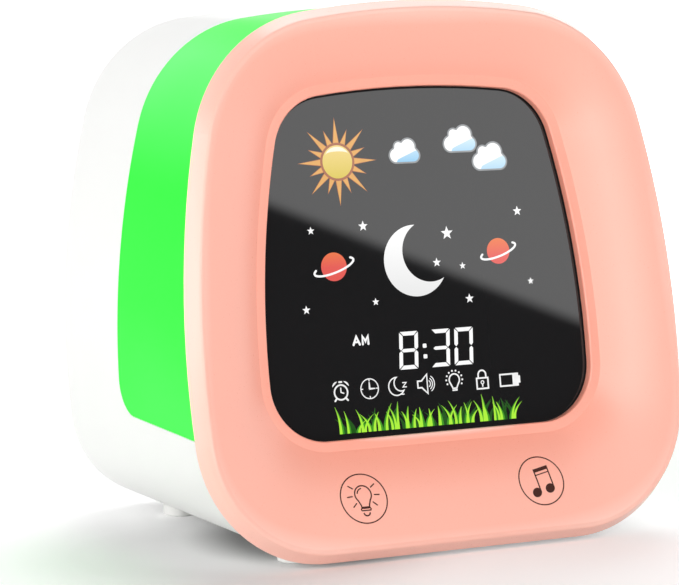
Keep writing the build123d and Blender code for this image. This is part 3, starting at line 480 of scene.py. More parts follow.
def dish_place(x, y):
    """A function that lays points on the dish of the bezel, round a spot given in the face's own plane."""
    tree = bezel_tree()
    flat = face_place(0.0)
    out = flat(0, 0, 1) - flat(0, 0, 0)
    # Rays start clear of the bezel, in metres before the face and over the dish
    before, over = 0.03, 0.01
    middle, normal, _, _ = tree.ray_cast(flat(x, y, before), -out)
    across = (Vector((1, 0, 0)) - normal * normal.x).normalized()
    up = normal.cross(across)

    def place(x, y, lift):
        start = middle + across * x * MM + up * y * MM + normal * over
        hit, facing, _, _ = tree.ray_cast(start, -normal)
        if hit is None:
            raise RuntimeError("the dish is not under a touch mark")
        return hit + facing * lift

    return place


def opening_outline():
    """The display's opening in the face's own plane, found just over the window."""
    tree = bezel_tree()
    place = face_place(sizes().window_depth)
    steps, lift = 240, 0.1 * MM
    start = place(0, 0, lift)
    outline = []
    for i in range(steps):
        turn = 2 * pi * i / steps
        hit, _, _, _ = tree.ray_cast(start, place(cos(turn), sin(turn), lift) - start)
        reach = (hit - start).length / MM
        outline.append((reach * cos(turn), reach * sin(turn)))
    return outline


def back_place(y):
    """A function for a vertical plane at that Y, seen from behind: X runs to the viewer's right."""

    def place(x, z, lift):
        return Vector((-x * MM, y + lift, z * MM))

    return place


def plate(name, shapes, material, place, lift, body="clock"):
    """A thin solid plate of flat shapes, laid where place says, which rides on a body."""
    # How far its foot goes into what carries it, so that no gap shows
    sink = 0.02 * MM
    made = bmesh.new()
    for loops in shapes:
        rings = [[Vector((*point, 0)) for point in loop] for loop in loops]
        flat = [point for loop in rings for point in loop]
        tops = [made.verts.new(place(point.x, point.y, lift)) for point in flat]
        feet = [made.verts.new(place(point.x, point.y, -sink)) for point in flat]
        for a, b, c in tessellate_polygon(rings):
            if len({a, b, c}) == 3:
                made.faces.new((tops[a], tops[b], tops[c]))
                made.faces.new((feet[c], feet[b], feet[a]))
        start = 0
        for loop in loops:
            count = len(loop)
            for i in range(count):
                a, b = start + i, start + (i + 1) % count
                made.faces.new((tops[a], tops[b], feet[b], feet[a]))
            start += count
    bmesh.ops.recalc_face_normals(made, faces=made.faces)
    mesh = bpy.data.meshes.new(name)
    made.to_mesh(mesh)
    made.free()
    mesh.materials.append(material)
    piece = bpy.data.objects.new(name, mesh)
    bpy.context.scene.collection.objects.link(piece)
    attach(piece, body)


def picture(name, shapes, film, level=1):
    """A lit picture of the display, that many lifts over the window."""
    size = sizes()
    place = face_place(size.window_depth)
    plate(name, shapes, film, place, level * size.picture_lift)


# ---------------------------------------------------------------- icons, 5 mm high, round the origin


def icon_alarm(line):
    """An alarm clock with two bells."""
    shapes = [ring(0, -0.3, 1.75, line * 1.3), pen([(0, 0.7), (0, -0.3), (0.7, -0.55)], line)]
    for side in (-1, 1):
        turn = 90 - 42 * side
        bell = arc(side * 0.95, 1.05, 1.25, turn - 48, turn + 48, 14)
        shapes.append([bell])
        shapes.append(pen([(side * 1.25, -1.75), (side * 1.7, -2.25)], line * 1.5))
    shapes.append(pen([(-0.3, 2.15), (0.3, 2.15)], line * 1.5))
    return shapes


def icon_clock(line):
    """A plain clock face with four marks."""
    shapes = [ring(0, 0, 2.35, line * 0.85)]
    for turn in range(0, 360, 90):
        c, s = cos(radians(turn)), sin(radians(turn))
        shapes.append(pen([(1.85 * c, 1.85 * s), (2.15 * c, 2.15 * s)], line * 0.85))
    shapes.append([[(-0.14, 1.55), (0.14, 1.55), (0.24, -0.1), (-0.24, -0.1)]])
    shapes.append([[(-0.1, -0.28), (1.55, -0.12), (1.55, 0.1), (-0.1, 0.22)]])
    return shapes


def icon_nap(line):
    """A crescent moon with two letters z, for a nap."""
    rims = [crescent(-0.4, 0, 2.3 - inset, 1.75 + inset, 1.45, 30)[0] for inset in (0, line)]
    shapes = [rims]
    for x, y, scale in ((1.05, -1.55, 0.75), (1.75, 0.25, 0.95)):
        letter = moved([(-0.5, 0.55), (0.5, 0.55), (-0.5, -0.55), (0.5, -0.55)], x, y, scale)
        shapes.append(pen(letter, line * 0.9))
    return shapes


def icon_sound(line):
    """A loudspeaker with three waves."""
    horn = [(-2.35, -0.8), (-1.3, -0.8), (0.25, -2.3), (0.25, 2.3), (-1.3, 0.8), (-2.35, 0.8)]
    shapes = [pen(horn, line * 1.2, closed=True)]
    for radius in (0.75, 1.3, 1.85):
        shapes.append(pen(arc(0.35, 0, radius, -58, 58, 14, radius * 1.1), line * 0.75))
    return shapes


def icon_bulb(line):
    """A light bulb with dots of light round it."""
    glass = arc(0, 0.45, 1.4, -38, 218, 30)
    foot = [(0.62, -1.35), (0.55, -1.6)]
    shapes = [pen(foot[::-1] + glass + [(-x, y) for x, y in foot], line * 1.2, closed=True)]
    shapes.append(pen([(-0.55, -2.05), (0.55, -2.05)], line * 1.3))
    for turn in range(-28, 209, 26):
        angle = radians(turn)
        shapes.append([circle(2.2 * cos(angle), 0.45 + 2.2 * sin(angle), line * 0.8, 12)])
    return shapes


def icon_lock(line):
    """A closed padlock."""
    body = [(-1.55, -2.25), (1.55, -2.25), (1.55, 0.3), (-1.55, 0.3)]
    shapes = [pen(body, line * 1.3, closed=True)]
    shackle = [(-1.05, 0.3), (-1.05, 1.1)] + arc(0, 1.1, 1.05, 175, 5, 16) + [(1.05, 1.1), (1.05, 0.3)]
    shapes.append(pen(shackle, line * 1.3, round_ends=False))
    shapes.append(ring(0, -0.75, 0.38, line * 0.8, 20))
    shapes.append(pen([(0, -1.15), (0, -1.7)], line * 1.1))
    return shapes


def icon_battery(line):
    """A battery, partly charged, with its nub to the right."""
    case = [(-2.75, -1.4), (2.15, -1.4), (2.15, 1.4), (-2.75, 1.4)]
    shapes = [pen(case, line * 1.3, closed=True)]
    shapes.append([[(0.7, -1.3), (2.1, -1.3), (2.1, 1.3), (0.7, 1.3)]])
    shapes.append([[(2.3, -0.9), (2.85, -0.9), (2.85, 0.9), (2.3, 0.9)]])
    return shapes


def icon_minus(line):
    """A minus sign."""
    return [pen([(-1.4, 0), (1.4, 0)], line * 1.6)]


def icon_plus(line):
    """A plus sign."""
    return [pen([(-1.4, 0), (1.4, 0)], line * 1.6), pen([(0, -1.4), (0, 1.4)], line * 1.6)]


def finely(shapes, step=0.4):
    """Shapes with points added at least each step, so that they can follow a curved surface."""
    fine = []
    for loops in shapes:
        fine.append([])
        for loop in loops:
            points = []
            for i, start in enumerate(loop):
                way = Vector(loop[(i + 1) % len(loop)]) - Vector(start)
                count = max(1, round(way.length / step))
                points += [tuple(Vector(start) + way * k / count) for k in range(count)]
            fine[-1].append(points)
    return fine


def laid(shapes, x, y, scale=1.0, turn=0.0):
    """Shapes turned, scaled and moved."""
    return [[moved(loop, x, y, scale, turn) for loop in loops] for loops in shapes]


KEY_ICONS = {
    "alarm": icon_alarm,
    "clock": icon_clock,
    "nap": icon_nap,
    "sound": icon_sound,
    "minus": icon_minus,
    "plus": icon_plus,
}
STATUS_ICONS = {
    "alarm": icon_alarm,
    "clock": icon_clock,
    "nap": icon_nap,
    "sound": icon_sound,
    "light": icon_bulb,
    "lock": icon_lock,
    "battery": icon_battery,
}


# ---------------------------------------------------------------- pieces, with places in millimetres


class CLOCK_OT_bezel(Operator):
    """Coral bezel"""

    bl_idname = "clock.bezel"
    bl_label = "Bezel"

    def execute(self, context):
        dress(coral_abs(), "front_bezel")
        return {"FINISHED"}


class CLOCK_OT_window(Operator):
    """Smoked window of the display"""

    bl_idname = "clock.window"
    bl_label = "Display window"

    def execute(self, context):
        size = sizes()
        dress(smoked_acrylic(), "display_window")
        # Matt black rubber laid on the window's edge: a dark ring that paints the shadow in the joint between
        # window and bezel
        rubber = plain("black_rubber_painted_shadow", "080809", 0.8, ior=1.52, feature=0.4, Specular_IOR_Level=0.15)
        inset, height = 0.3, 0.12
        seam = [moved([point], 0, 0, 1 - inset / Vector(point).length)[0] for point in opening_outline()]
        gasket = pen(seam, size.painted_shadow_gasket_width / MM, closed=True)
        place = face_place(size.window_depth)
        plate("window_painted_shadow_gasket", [gasket], rubber, place, height * MM)
        return {"FINISHED"}


class CLOCK_OT_band(Operator):
    """Night-light band"""

    bl_idname = "clock.band"
    bl_label = "Night-light band"

    def execute(self, context):
        dress(milky_polycarbonate(), "light_diffuser")
        return {"FINISHED"}


class CLOCK_OT_shell(Operator):
    """Back shell and feet"""

    bl_idname = "clock.shell"
    bl_label = "Back shell and feet"

    def execute(self, context):
        dress(moulded_abs("moulded_white_abs", colours().shell, 0.38, Specular_IOR_Level=0.3), "back_shell")
        feet = [f"foot_{end}_{side}" for end in ("front", "rear") for side in ("left", "right")]
        dress(moulded_silicone(), *feet)
        return {"FINISHED"}


def add_contacts():
    """The eight gold contacts on the tongue of the inlet."""
    # Electroplated gold over copper: warm, smooth metal
    gold = plain("gold_plated_copper", "E2B65A", 0.25, feature=0.2, height=0.001, metallic=1.0)
    low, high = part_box("charging_tongue")
    middle_x, middle_z = (low.x + high.x) / 2, (low.z + high.z) / 2
    pitch, half_width, tip, root, tongue_top, height = 0.7, 0.12, 0.6, 4.1, 0.35, 0.03
    shapes = []
    for i in range(8):
        left, right = (i - 3.5) * pitch - half_width, (i - 3.5) * pitch + half_width
        shapes.append([[(left, tip), (right, tip), (right, root), (left, root)]])

    def on_tongue(x, y, lift):
        return Vector((middle_x + x * MM, high.y - y * MM, middle_z + tongue_top * MM + lift))

    plate("inlet_contacts", shapes, gold, on_tongue, height * MM)


class CLOCK_OT_keys(Operator):
    """Keys, power slider and charging inlet, with their printed symbols"""

    bl_idname = "clock.keys"
    bl_label = "Keys and inlet"

    def execute(self, context):
        white = moulded_abs("moulded_key_abs", shade(colours().shell, 0.93), 0.42)
        ink = pad_ink("grey_pad_ink", linear("5A5C60"))
        # A key's symbol is that much smaller than an icon of the display, and its ink that thick
        scale, height = 0.62, 0.02
        line = sizes().key_line / MM / scale
        for name, icon in KEY_ICONS.items():
            dress(white, f"{name}_button")
            low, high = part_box(f"{name}_button")
            x, z = -(low.x + high.x) / 2 / MM, (low.z + high.z) / 2 / MM
            symbol = laid(icon(line), x, z, scale)
            place = back_place(high.y)
            plate(f"{name}_symbol", symbol, ink, place, height * MM, body=f"{name}_key")
        dress(white, "power_slider")
        dress(plated_steel("nickel_plated_stamping", "C9C9C6", 0.22), "charging_socket")
        # Glass-filled nylon, moulded: dark and half matt
        black = plain("moulded_black_nylon", "232326", 0.5)
        dress(black, "charging_tongue", "button_switches", "power_switch")
        add_contacts()
        return {"FINISHED"}


LEADS = ("touch", "light", "speaker", "battery")
SCREWS = ("display", "case", "control_board", "speaker", "battery_strap")
# Material with its colour and roughness, what is its own about it, and the nodes that it dresses
INSIDE = (
    # Moulded, with its inner faces left matt: white that scatters light
    (("moulded_white_inner_abs", "EFEFEC", 0.55), {"feature": 0.6}, ("light_reflector", "battery_strap")),
    # Screen-printed film: black and quite glossy
    (("printed_polyester_film", "232325", 0.3), {"feature": 0.3, "height": 0.002}, ("picture_film",)),
    # Moulded lamp housings: cream, half matt
    (("moulded_led_package", "F5F1DC", 0.4), {}, ("display_leds", "night_light_leds")),
    # Moulded epoxy: black and matt
    (("moulded_epoxy_package", "202022", 0.6), {}, ("display_driver", "control_chips")),
    # Etched and brushed foil: reddish metal with a soft shine
    (("etched_copper_foil", "C9875A", 0.3), {"metallic": 1.0}, ("touch_pad_left", "touch_pad_right")),
    # Extruded insulation: red with a waxy shine
    (("red_pvc_insulation", "B0322B", 0.45), {}, [f"{name}_leads" for name in LEADS]),
    # Moulded nylon: cream, half matt
    (("moulded_cream_nylon", "EFEBDD", 0.5), {}, ("lead_plugs", "ribbon_sockets")),
    # Laminated film over flat conductors: pale and smooth
    (("polyester_flat_cable", "E9E6DE", 0.35), {"feature": 1.0}, ("display_ribbon",)),
    # Moulded acetal: dark red and smooth
    (("moulded_acetal_plunger", "8E2F2A", 0.35), {}, [f"{key}_plunger" for key in KEY_ICONS]),
    # Dipped paint on pressed steel: near black, half matt
    (("black_painted_steel", "26272B", 0.4), {}, ("speaker_basket",)),
    # Pressed paper: dark and fibrous
    (("pressed_paper_cone", "38342F", 0.85), {"feature": 0.8, "height": 0.05}, ("speaker_cone",)),
    # Sintered and ground ferrite: grey and granular
    (("sintered_ferrite", "47484D", 0.6), {"feature": 0.7, "height": 0.03}, ("speaker_magnet",)),
    # Cut foam: black, with its cells open where it was cut
    (("closed_cell_foam", "2B2B2D", 0.95), {"feature": 0.6, "height": 0.08}, ("speaker_gasket",)),
    # Shrunk wrap: glossy blue with slow waves
    (("pvc_shrink_wrap", "3C7FB5", 0.25), {"feature": 6.0, "height": 0.03}, ("battery_cell",)),
)


class CLOCK_OT_inside(Operator):
    """Everything inside the case, and the case screws"""

    bl_idname = "clock.inside"
    bl_label = "Inside"

    def execute(self, context):
        for look, own, pieces in INSIDE:
            dress(plain(*look, **own), *pieces)
        dress(solder_mask(), "display_board", "night_light_board", "control_board")
        zinc = plated_steel("zinc_plated_steel", "B9BABD", 0.32)
        dress(zinc, *[f"{name}_screws" for name in SCREWS])
        return {"FINISHED"}


def add_sun(x, y):
    """The sun: sixteen rays with rust edges, and a disc with a rust rim and a pale shine."""
    radius = sizes().sun_radius / MM
    rays, edges = [], []
    for i in range(16):
        reach = 1.8 if i % 2 else 2.35
        for wedges, wide, far in ((rays, 0.82, reach), (edges, 1.0, reach + 0.12)):
            wedge = [(radius * 0.8, -wide), (radius * far, 0), (radius * 0.8, wide)]
            wedges.append([moved(wedge, x, y, 1.0, 22.5 * i)])
    rust = lit_film("lit_rust_print", linear("A7623A"))
    orange = lit_film("lit_orange_print", linear("E3A650"))
    yellow = lit_film("lit_yellow_print", linear("F2D584"), linear("D6C03C"), 0.0885, 0.0975)
    cream = lit_film("lit_cream_print", linear("FDF6DC"))
    shine = arc(0, 0.25, 0.74, 14, 166, 24, 0.58) + arc(0, 0.42, 0.72, 166, 14, 24, 0.16)[1:-1]
    picture("sun_ray_edges", edges, rust)
    picture("sun_rays", rays, orange, 2)
    picture("sun_rim", [[circle(x, y, radius * 1.06)]], rust, 3)
    picture("sun_disc", [[circle(x, y, radius * 0.92)]], yellow, 4)
    picture("sun_shine", [[moved(shine, x, y, radius)]], cream, 5)


def cloud_outline(x, y, scale):
    """The outline of a cloud with four humps and a flat foot, and the patch of shadow at its lower right."""
    right = arc(2.9, -0.95, 2.05, -90, 50, 16)
    top = arc(1.2, 1.55, 2.55, -8, 142, 22) + arc(-1.9, 1.75, 1.6, 60, 185, 12)
    left = arc(-2.9, -0.75, 2.2, 110, 270, 16)
    # The shadow keeps clear of the rim and is bounded above by a shallow curve
    patch = arc(2.9, -0.95, 1.95, -90, 48, 16)
    for k in range(1, 14):
        t = k / 14
        patch.append((3.6 - 6.4 * t, 0.45 - 1.7 * t - 1.3 * t * (1 - t) - 0.9 * t**3))
    patch.append((-2.9, -2.88))
    return moved(right + top + left, x, y, scale), moved(patch, x, y, scale)


# Name, place, scale, lifts over the window, and the print of its shadow
CLOUDS = (
    ("far_cloud", 13.2, 33.6, 0.9, 1, "far_sky_blue"),
    ("near_cloud", 21.0, 29.0, 0.94, 4, "sky_blue"),
    ("lone_cloud", -2.2, 31.4, 0.82, 1, "far_sky_blue"),
)


class CLOCK_OT_sky(Operator):
    """Sun and clouds of the display"""

    bl_idname = "clock.sky"
    bl_label = "Sun and clouds"

    def execute(self, context):
        add_sun(-20.5, 30.0)
        white = lit_film("lit_cloud_print", WHITE, linear("F1F8FC"), 0.0865, 0.0935)
        grey = lit_film("lit_grey_print", linear("8D9093"))
        shadows = {
            name: lit_film(f"lit_{name}_print", linear("D3ECF9"), linear("86C4EA"), low, high)
            for name, low, high in (("sky_blue", 0.086, 0.0925), ("far_sky_blue", 0.0915, 0.097))
        }
        for name, x, y, scale, level, shadow in CLOUDS:
            outline, patch = cloud_outline(x, y, scale)
            picture(name, [[outline]], white, level)
            picture(f"{name}_shadow", [[patch]], shadows[shadow], level + 1)
            picture(f"{name}_rim", [pen(outline, 0.4, closed=True)], grey, level + 2)
        return {"FINISHED"}


# Place and radius of each star
STARS = (
    (7.6, 11.5, 1.7),
    (4.2, 4.6, 1.15),
    (11.2, 3.4, 0.9),
    (-15.0, 14.4, 1.3),
    (-29.0, 14.0, 1.0),
    (-13.2, -3.8, 0.95),
    (27.6, 15.8, 1.25),
    (29.8, -1.4, 0.9),
    (-31.8, -4.6, 1.1),
    (12.4, -4.6, 1.2),
)


class CLOCK_OT_night(Operator):
    """Moon, stars and ringed planets of the display"""

    bl_idname = "clock.night"
    bl_label = "Moon, stars and planets"

    def execute(self, context):
        white = lit_film("lit_white_print", WHITE, linear("E4E4E4"), 0.057, 0.080)
        radius = sizes().moon_radius / MM
        picture("crescent_moon", [crescent(-1.5, 5.4, radius, radius * 0.86, radius * 0.52, 28)], white)
        bright = lit_film("lit_star_print", colours().lit_white)
        picture("small_stars", [star(*spot) for spot in STARS], bright)
        for name, x, y, scale in (("planet_left", -23.6, 5.2, 1.0), ("planet_right", 21.4, 6.4, 0.92)):
            # A planet turns from red at its foot to orange
            foot = 0.0672 + 0.001 * y / 5
            disc = lit_film(f"lit_{name}_print", linear("F0871F"), linear("E4564E"), foot, foot + 0.007)
            radius = 3.4 * scale
            picture(f"{name}_disc", [[circle(x, y, radius)]], disc)
            # The ring passes behind the disc at its upper side, so that part isn't drawn
            orbit = arc(0, 0, radius * 1.62, 152, 388, 44, radius * 0.42)
            picture(f"{name}_ring", [pen(moved(orbit, x, y, 1.0, 16), 0.5)], bright, 2)
        return {"FINISHED"}


# The segments that each figure lights
FIGURES = {"0": "abcdef", "3": "abcdg", "8": "abcdefg"}


def digit(figure, x, y, width, height, line):
    """The lit segments of one figure, which have mitred ends and lean 4 degrees to the right."""
    w, h, half = width / 2 - line / 2, height / 2 - line / 2, line / 2
    gap, lean = 0.09, 0.07

    def flat_bar(up):
        """The segment at the top, or with -1 the one at the foot."""
        outer, inner = w - gap + half * 0.75, w - gap - half * 1.2
        far, near = up * (h + half), up * (h - half)
        return [(-outer, far), (outer, far), (inner, near), (-inner, near)]

    def upright(side, up):
        """The segment at the right or, with -1, the left of the upper or, with -1, the lower half."""
        near, far = side * (w - half), side * (w + half)
        heights = (half + gap, gap, half + gap, h + half * 0.6, h - half - gap)
        return [(px, up * py) for px, py in zip((near, side * w, far, far, near), heights)]

    tip, rise = w - gap * 1.6, half * 0.85
    corner = tip - half
    segments = {
        "a": flat_bar(1),
        "b": upright(1, 1),
        "c": upright(1, -1),
        "d": flat_bar(-1),
        "e": upright(-1, -1),
        "f": upright(-1, 1),
        "g": [(-tip, 0), (-corner, rise), (corner, rise), (tip, 0), (corner, -rise), (-corner, -rise)],
    }
    return [[[(x + px + lean * py, y + py) for px, py in segments[name]]] for name in FIGURES[figure]]


class CLOCK_OT_readout(Operator):
    """Time readout of the display"""

    bl_idname = "clock.readout"
    bl_label = "Readout"

    def execute(self, context):
        size = sizes()
        white = lit_film("lit_readout_print", colours().lit_white)
        width, height, line = (v / MM for v in (size.digit_width, size.digit_height, size.segment_width))
        row, colon = -15.9, -0.95
        shapes = []
        for figure, x in (("8", -5.35), ("3", 3.35), ("0", 9.75)):
            shapes += digit(figure, x, row, width, height, line)
        corners = [(-0.5, -0.35), (-0.35, -0.5), (0.35, -0.5), (0.5, -0.35)]
        dot = corners + [(-px, -py) for px, py in corners]
        for rise in (-1.75, 0.8):
            shapes.append([moved(dot, colon, row + rise)])
        picture("readout_digits", shapes, white)
        letters = [
            pen([(-2.0, -0.95), (-1.15, 0.95), (-0.3, -0.95)], 0.55),
            pen([(-1.6, -0.35), (-0.7, -0.35)], 0.42),
            pen([(0.5, -0.95), (0.5, 0.95), (1.25, -0.3), (2.0, 0.95), (2.0, -0.95)], 0.55),
        ]
        picture("morning_letters", laid(letters, -18.05, -12.65), white)
        return {"FINISHED"}


class CLOCK_OT_icons(Operator):
    """Status icons of the display"""

    bl_idname = "clock.icons"
    bl_label = "Status icons"

    def execute(self, context):
        size = sizes()
        white = lit_film("lit_icon_print", shade(colours().lit_white, 0.93))
        line, pitch = size.icon_line / MM, size.icon_pitch / MM
        # The row lies a little to the left, and the battery under the others
        shift, row, drop = -1.3, -24.25, 0.7
        for i, (name, icon) in enumerate(STATUS_ICONS.items()):
            y = row - drop if name == "battery" else row
            picture(f"{name}_icon", laid(icon(line), (i - 3) * pitch + shift, y), white)
        return {"FINISHED"}


# Name, tip colour, foot colour, shortest and tallest blade
GRASS = (
    ("deep", "2F6B22", "1C5512", 3.2, 5.6),
    ("mid", "4E9A2A", "3F9A1E", 3.0, 6.6),
    ("lime", "7DB83A", "AEF23C", 3.0, 6.6),
)


def blade(x, rise, wide, bend, inner):
    """A blade of grass that bends over and tapers. Of its half within the bend, that share is drawn."""
    ground, tip_width, steps = -34.4, 0.06, 12
    left, right = [], []
    for k in range(steps):
        t = k / (steps - 1)
        half = wide / 2 * (1 - t**1.4) + tip_width / 2
        middle = x + bend * t**2.1
        left.append((middle - half * (inner if bend > 0 else 1), ground + rise * t))
        right.append((middle + half * (1 if bend > 0 else inner), ground + rise * t))
    return [left + right[::-1]]


class CLOCK_OT_meadow(Operator):
    """Strip of grass at the foot of the display"""

    bl_idname = "clock.meadow"
    bl_label = "Meadow"

    def execute(self, context):
        dice = random.Random(5)
        left, right = -25.1, 23.3
        count = sizes().blade_count // len(GRASS)
        tufts = [left + (right - left) * (i + dice.uniform(0.1, 0.9)) / count for i in range(count)]
        for level, (name, tip, foot, short, tall) in enumerate(GRASS):
            # The lime blades are the lit outer sides of the middle ones, so they keep those places
            lime = name == "lime"
            if not lime:
                leaves = [
                    (
                        x + dice.uniform(-0.9, 0.9),
                        dice.uniform(short, tall),
                        dice.uniform(0.95, 1.4),
                        dice.choice((-1, 1)) * dice.uniform(0.5, 2.8),
                    )
                    for x in tufts
                ]
            film = lit_film(f"lit_{name}_green_print", linear(tip), linear(foot), 0.0325, 0.0365)
            blades = [blade(*leaf, 0.15 if lime else 1.0) for leaf in leaves]
            picture(f"{name}_grass", blades, film, level + 1)
        return {"FINISHED"}


def lamp_symbol(line):
    """A light bulb with its cap and six rays."""
    glass = arc(0, 1.0, 2.15, -42, 222, 36)
    neck = [(1.12, -1.55), (1.0, -2.15)]
    bulb = neck[::-1] + glass + [(-x, y) for x, y in neck]
    cap = [(-1.15, -2.95), (1.15, -2.95), (1.3, -2.65), (1.15, -2.4), (-1.15, -2.4), (-1.3, -2.65)]
    shapes = [
        pen(bulb, line * 1.1, closed=True),
        pen(arc(0, 1.0, 1.5, 100, 165, 12), line),
        pen(cap, line, closed=True),
        pen(arc(0, -3.5, 0.8, 190, 350, 14, 0.75), line * 1.2),
    ]
    for turn in (-42, -4, 35, 145, 184, 222):
        c, s = cos(radians(turn)), sin(radians(turn))
        shapes.append(pen([(2.95 * c, 0.9 + 2.95 * s), (4.2 * c, 0.9 + 4.2 * s)], line))
    return shapes


def tune_symbol(line):
    """Two notes under a double beam."""
    notes = []
    for x, y in ((-1.9, -2.6), (1.95, -2.35)):
        notes.append([moved(circle(0, 0, 1.3, 28, 1.15), x, y, 1.0, 20)])
        notes.append(pen([(x + 1.1, y + 0.2), (x + 1.1, y + 5.3)], line * 1.1))
    notes.append([[(-0.97, 2.2), (3.22, 2.45), (3.22, 3.35), (-0.97, 3.1)]])
    notes.append(pen([(-0.8, 1.5), (3.05, 1.75)], line * 0.9))
    return laid(notes, -0.3, 0.0, 1.0, 8)


class CLOCK_OT_marks(Operator):
    """Printed touch marks under the display: a lamp and a tune"""

    bl_idname = "clock.marks"
    bl_label = "Touch marks"

    def execute(self, context):
        size = sizes()
        ink = pad_ink("brown_pad_ink", colours().mark)
        line, radius = size.mark_line / MM, size.mark_radius / MM
        # From the middle of the face to the middle of a mark, and how thick the ink stands
        across, up, height = 24.2, -49.7, 0.03
        for name, symbol, side in (("lamp_mark", lamp_symbol, -1), ("tune_mark", tune_symbol, 1)):
            shapes = finely([ring(0, 0, radius, line, 120), *symbol(line)])
            plate(name, shapes, ink, dish_place(side * across, up), height * MM)
        return {"FINISHED"}


# ---------------------------------------------------------------- studio, in metres

CAMERA_PLACE = Vector((-0.41640, -0.78091, 0.17768))
CAMERA_YAW = 0.48274
CAMERA_PITCH = 0.13524
CAMERA_LENS = 191.69
FLOOR_REACH = 30.0
LAMP_AIM = Vector((0, 0, 0.06))
LAMP_DISTANCE = 1.1
LAMP_SIZE = 0.7
# Name, degrees from the front towards the clock's right, degrees up, watts
LAMPS = (
    ("front_lamp", 0, 12, 3.5),
    ("front_left_lamp", -30, 12, 4.9),
    ("left_lamp", -90, 10, 6.7),
    ("right_lamp", 69, 8, 1.95),
    ("rear_right_lamp", 140, 25, 2.1),
    ("rear_lamp", 180, 12, 0.7),
    ("high_rear_lamp", 150, 62, 5.2),
)


def flat_quad(name, corners, material):
    """A stage card with those four corners."""
    mesh = bpy.data.meshes.new(name)
    mesh.from_pydata([tuple(c) for c in corners], [], [(0, 1, 2, 3)])
    mesh.materials.append(material)
    card = bpy.data.objects.new(name, mesh)
    bpy.context.scene.collection.objects.link(card)
    return card


def add_camera():
    """The camera, set up as the scene's own."""
    data = bpy.data.cameras.new("view_camera")
    data.lens = CAMERA_LENS
    data.sensor_width = 36.0
    data.clip_start = 0.05
    data.clip_end = 2 * FLOOR_REACH
    camera = bpy.data.objects.new("view_camera", data)
    camera.location = CAMERA_PLACE
    camera.rotation_euler = (pi / 2 - CAMERA_PITCH, 0, -CAMERA_YAW)
    bpy.context.scene.collection.objects.link(camera)
    bpy.context.scene.camera = camera


def seen_directly(tree):
    """One for what the eye sees directly, in a mirror or through glass, and nought for light on the clock."""
    path = node(tree, "LightPath").outputs
    seen = node(tree, "Math", "MAXIMUM", i0=path["Is Camera Ray"], i1=path["Is Glossy Ray"])
    return node(tree, "Math", "MAXIMUM", i0=seen, i1=path["Is Transmission Ray"])


def matt_floor():
    """Matt white paint with painted shadows. The eye, mirrors and glass see it fade to plain white away from
    the clock, with a painted soft shadow beside the clock's left front and a painted contact shadow under it.
    """
    paint = linear("F3F3F3")
    made, tree, shader = surface("matt_white_floor", paint, 0.9, Emission_Color=WHITE)
    place = node(tree, "TexCoord").outputs["Object"]
    seen = seen_directly(tree)
    # Painted shadow: round a spot beside the clock's left front none of the white is there, a part of it a
    # little further out, and far away all of it
    from_painted_shadow = node(tree, "VectorMath", "DISTANCE", i0=place, i1=(-0.05, -0.02, 0.0))
    from_middle = node(tree, "VectorMath", "LENGTH", i0=place)
    near = node(tree, "MapRange", SOFT, Value=from_painted_shadow, i1=0.02, i2=0.062, i3=0.0, i4=0.27)
    far = node(tree, "MapRange", SOFT, Value=from_middle, i1=0.11, i2=0.5, i3=0.0, i4=0.73)
    white = node(tree, "Math", "ADD", i0=near, i1=far)
    # Painted contact shadow: close under the clock the paint is darker to the eye, so that the contact shadow
    # stays firm
    from_foot = node(tree, "VectorMath", "DISTANCE", i0=place, i1=(-0.02, -0.015, 0.0))
    painted_contact_shadow = node(tree, "MapRange", SOFT, Value=from_foot, i1=0.018, i2=0.036, i3=0.5, i4=0.0)
    firm = node(tree, "Math", "MULTIPLY", i0=seen, i1=painted_contact_shadow)
    feed(
        shader,
        Base_Color=node(tree, "Math", "SUBTRACT", i0=paint[0], i1=firm),
        Emission_Strength=node(tree, "Math", "MULTIPLY", i0=seen, i1=white),
    )
    return made


def add_world():
    """A white world, which lights the clock far less than the eye sees it."""
    world = bpy.data.worlds.new("studio_world")
    world.use_nodes = True
    bpy.context.scene.world = world
    tree = world.node_tree
    level = node(tree, "MapRange", Value=seen_directly(tree), i3=0.1, i4=1.0)
    feed(tree.nodes["Background"], Color=WHITE, Strength=level)


def add_lamp(name, turn, rise, power):
    """A square soft lamp on a sphere round the clock."""
    flat, high = radians(turn), radians(rise)
    way = Vector((sin(flat) * cos(high), -cos(flat) * cos(high), sin(high)))
    data = bpy.data.lights.new(name, "AREA")
    data.size = LAMP_SIZE
    data.energy = power
    lamp = bpy.data.objects.new(name, data)
    lamp.location = LAMP_AIM + way * LAMP_DISTANCE
    lamp.rotation_euler = (-way).to_track_quat("-Z", "Y").to_euler()
    bpy.context.scene.collection.objects.link(lamp)


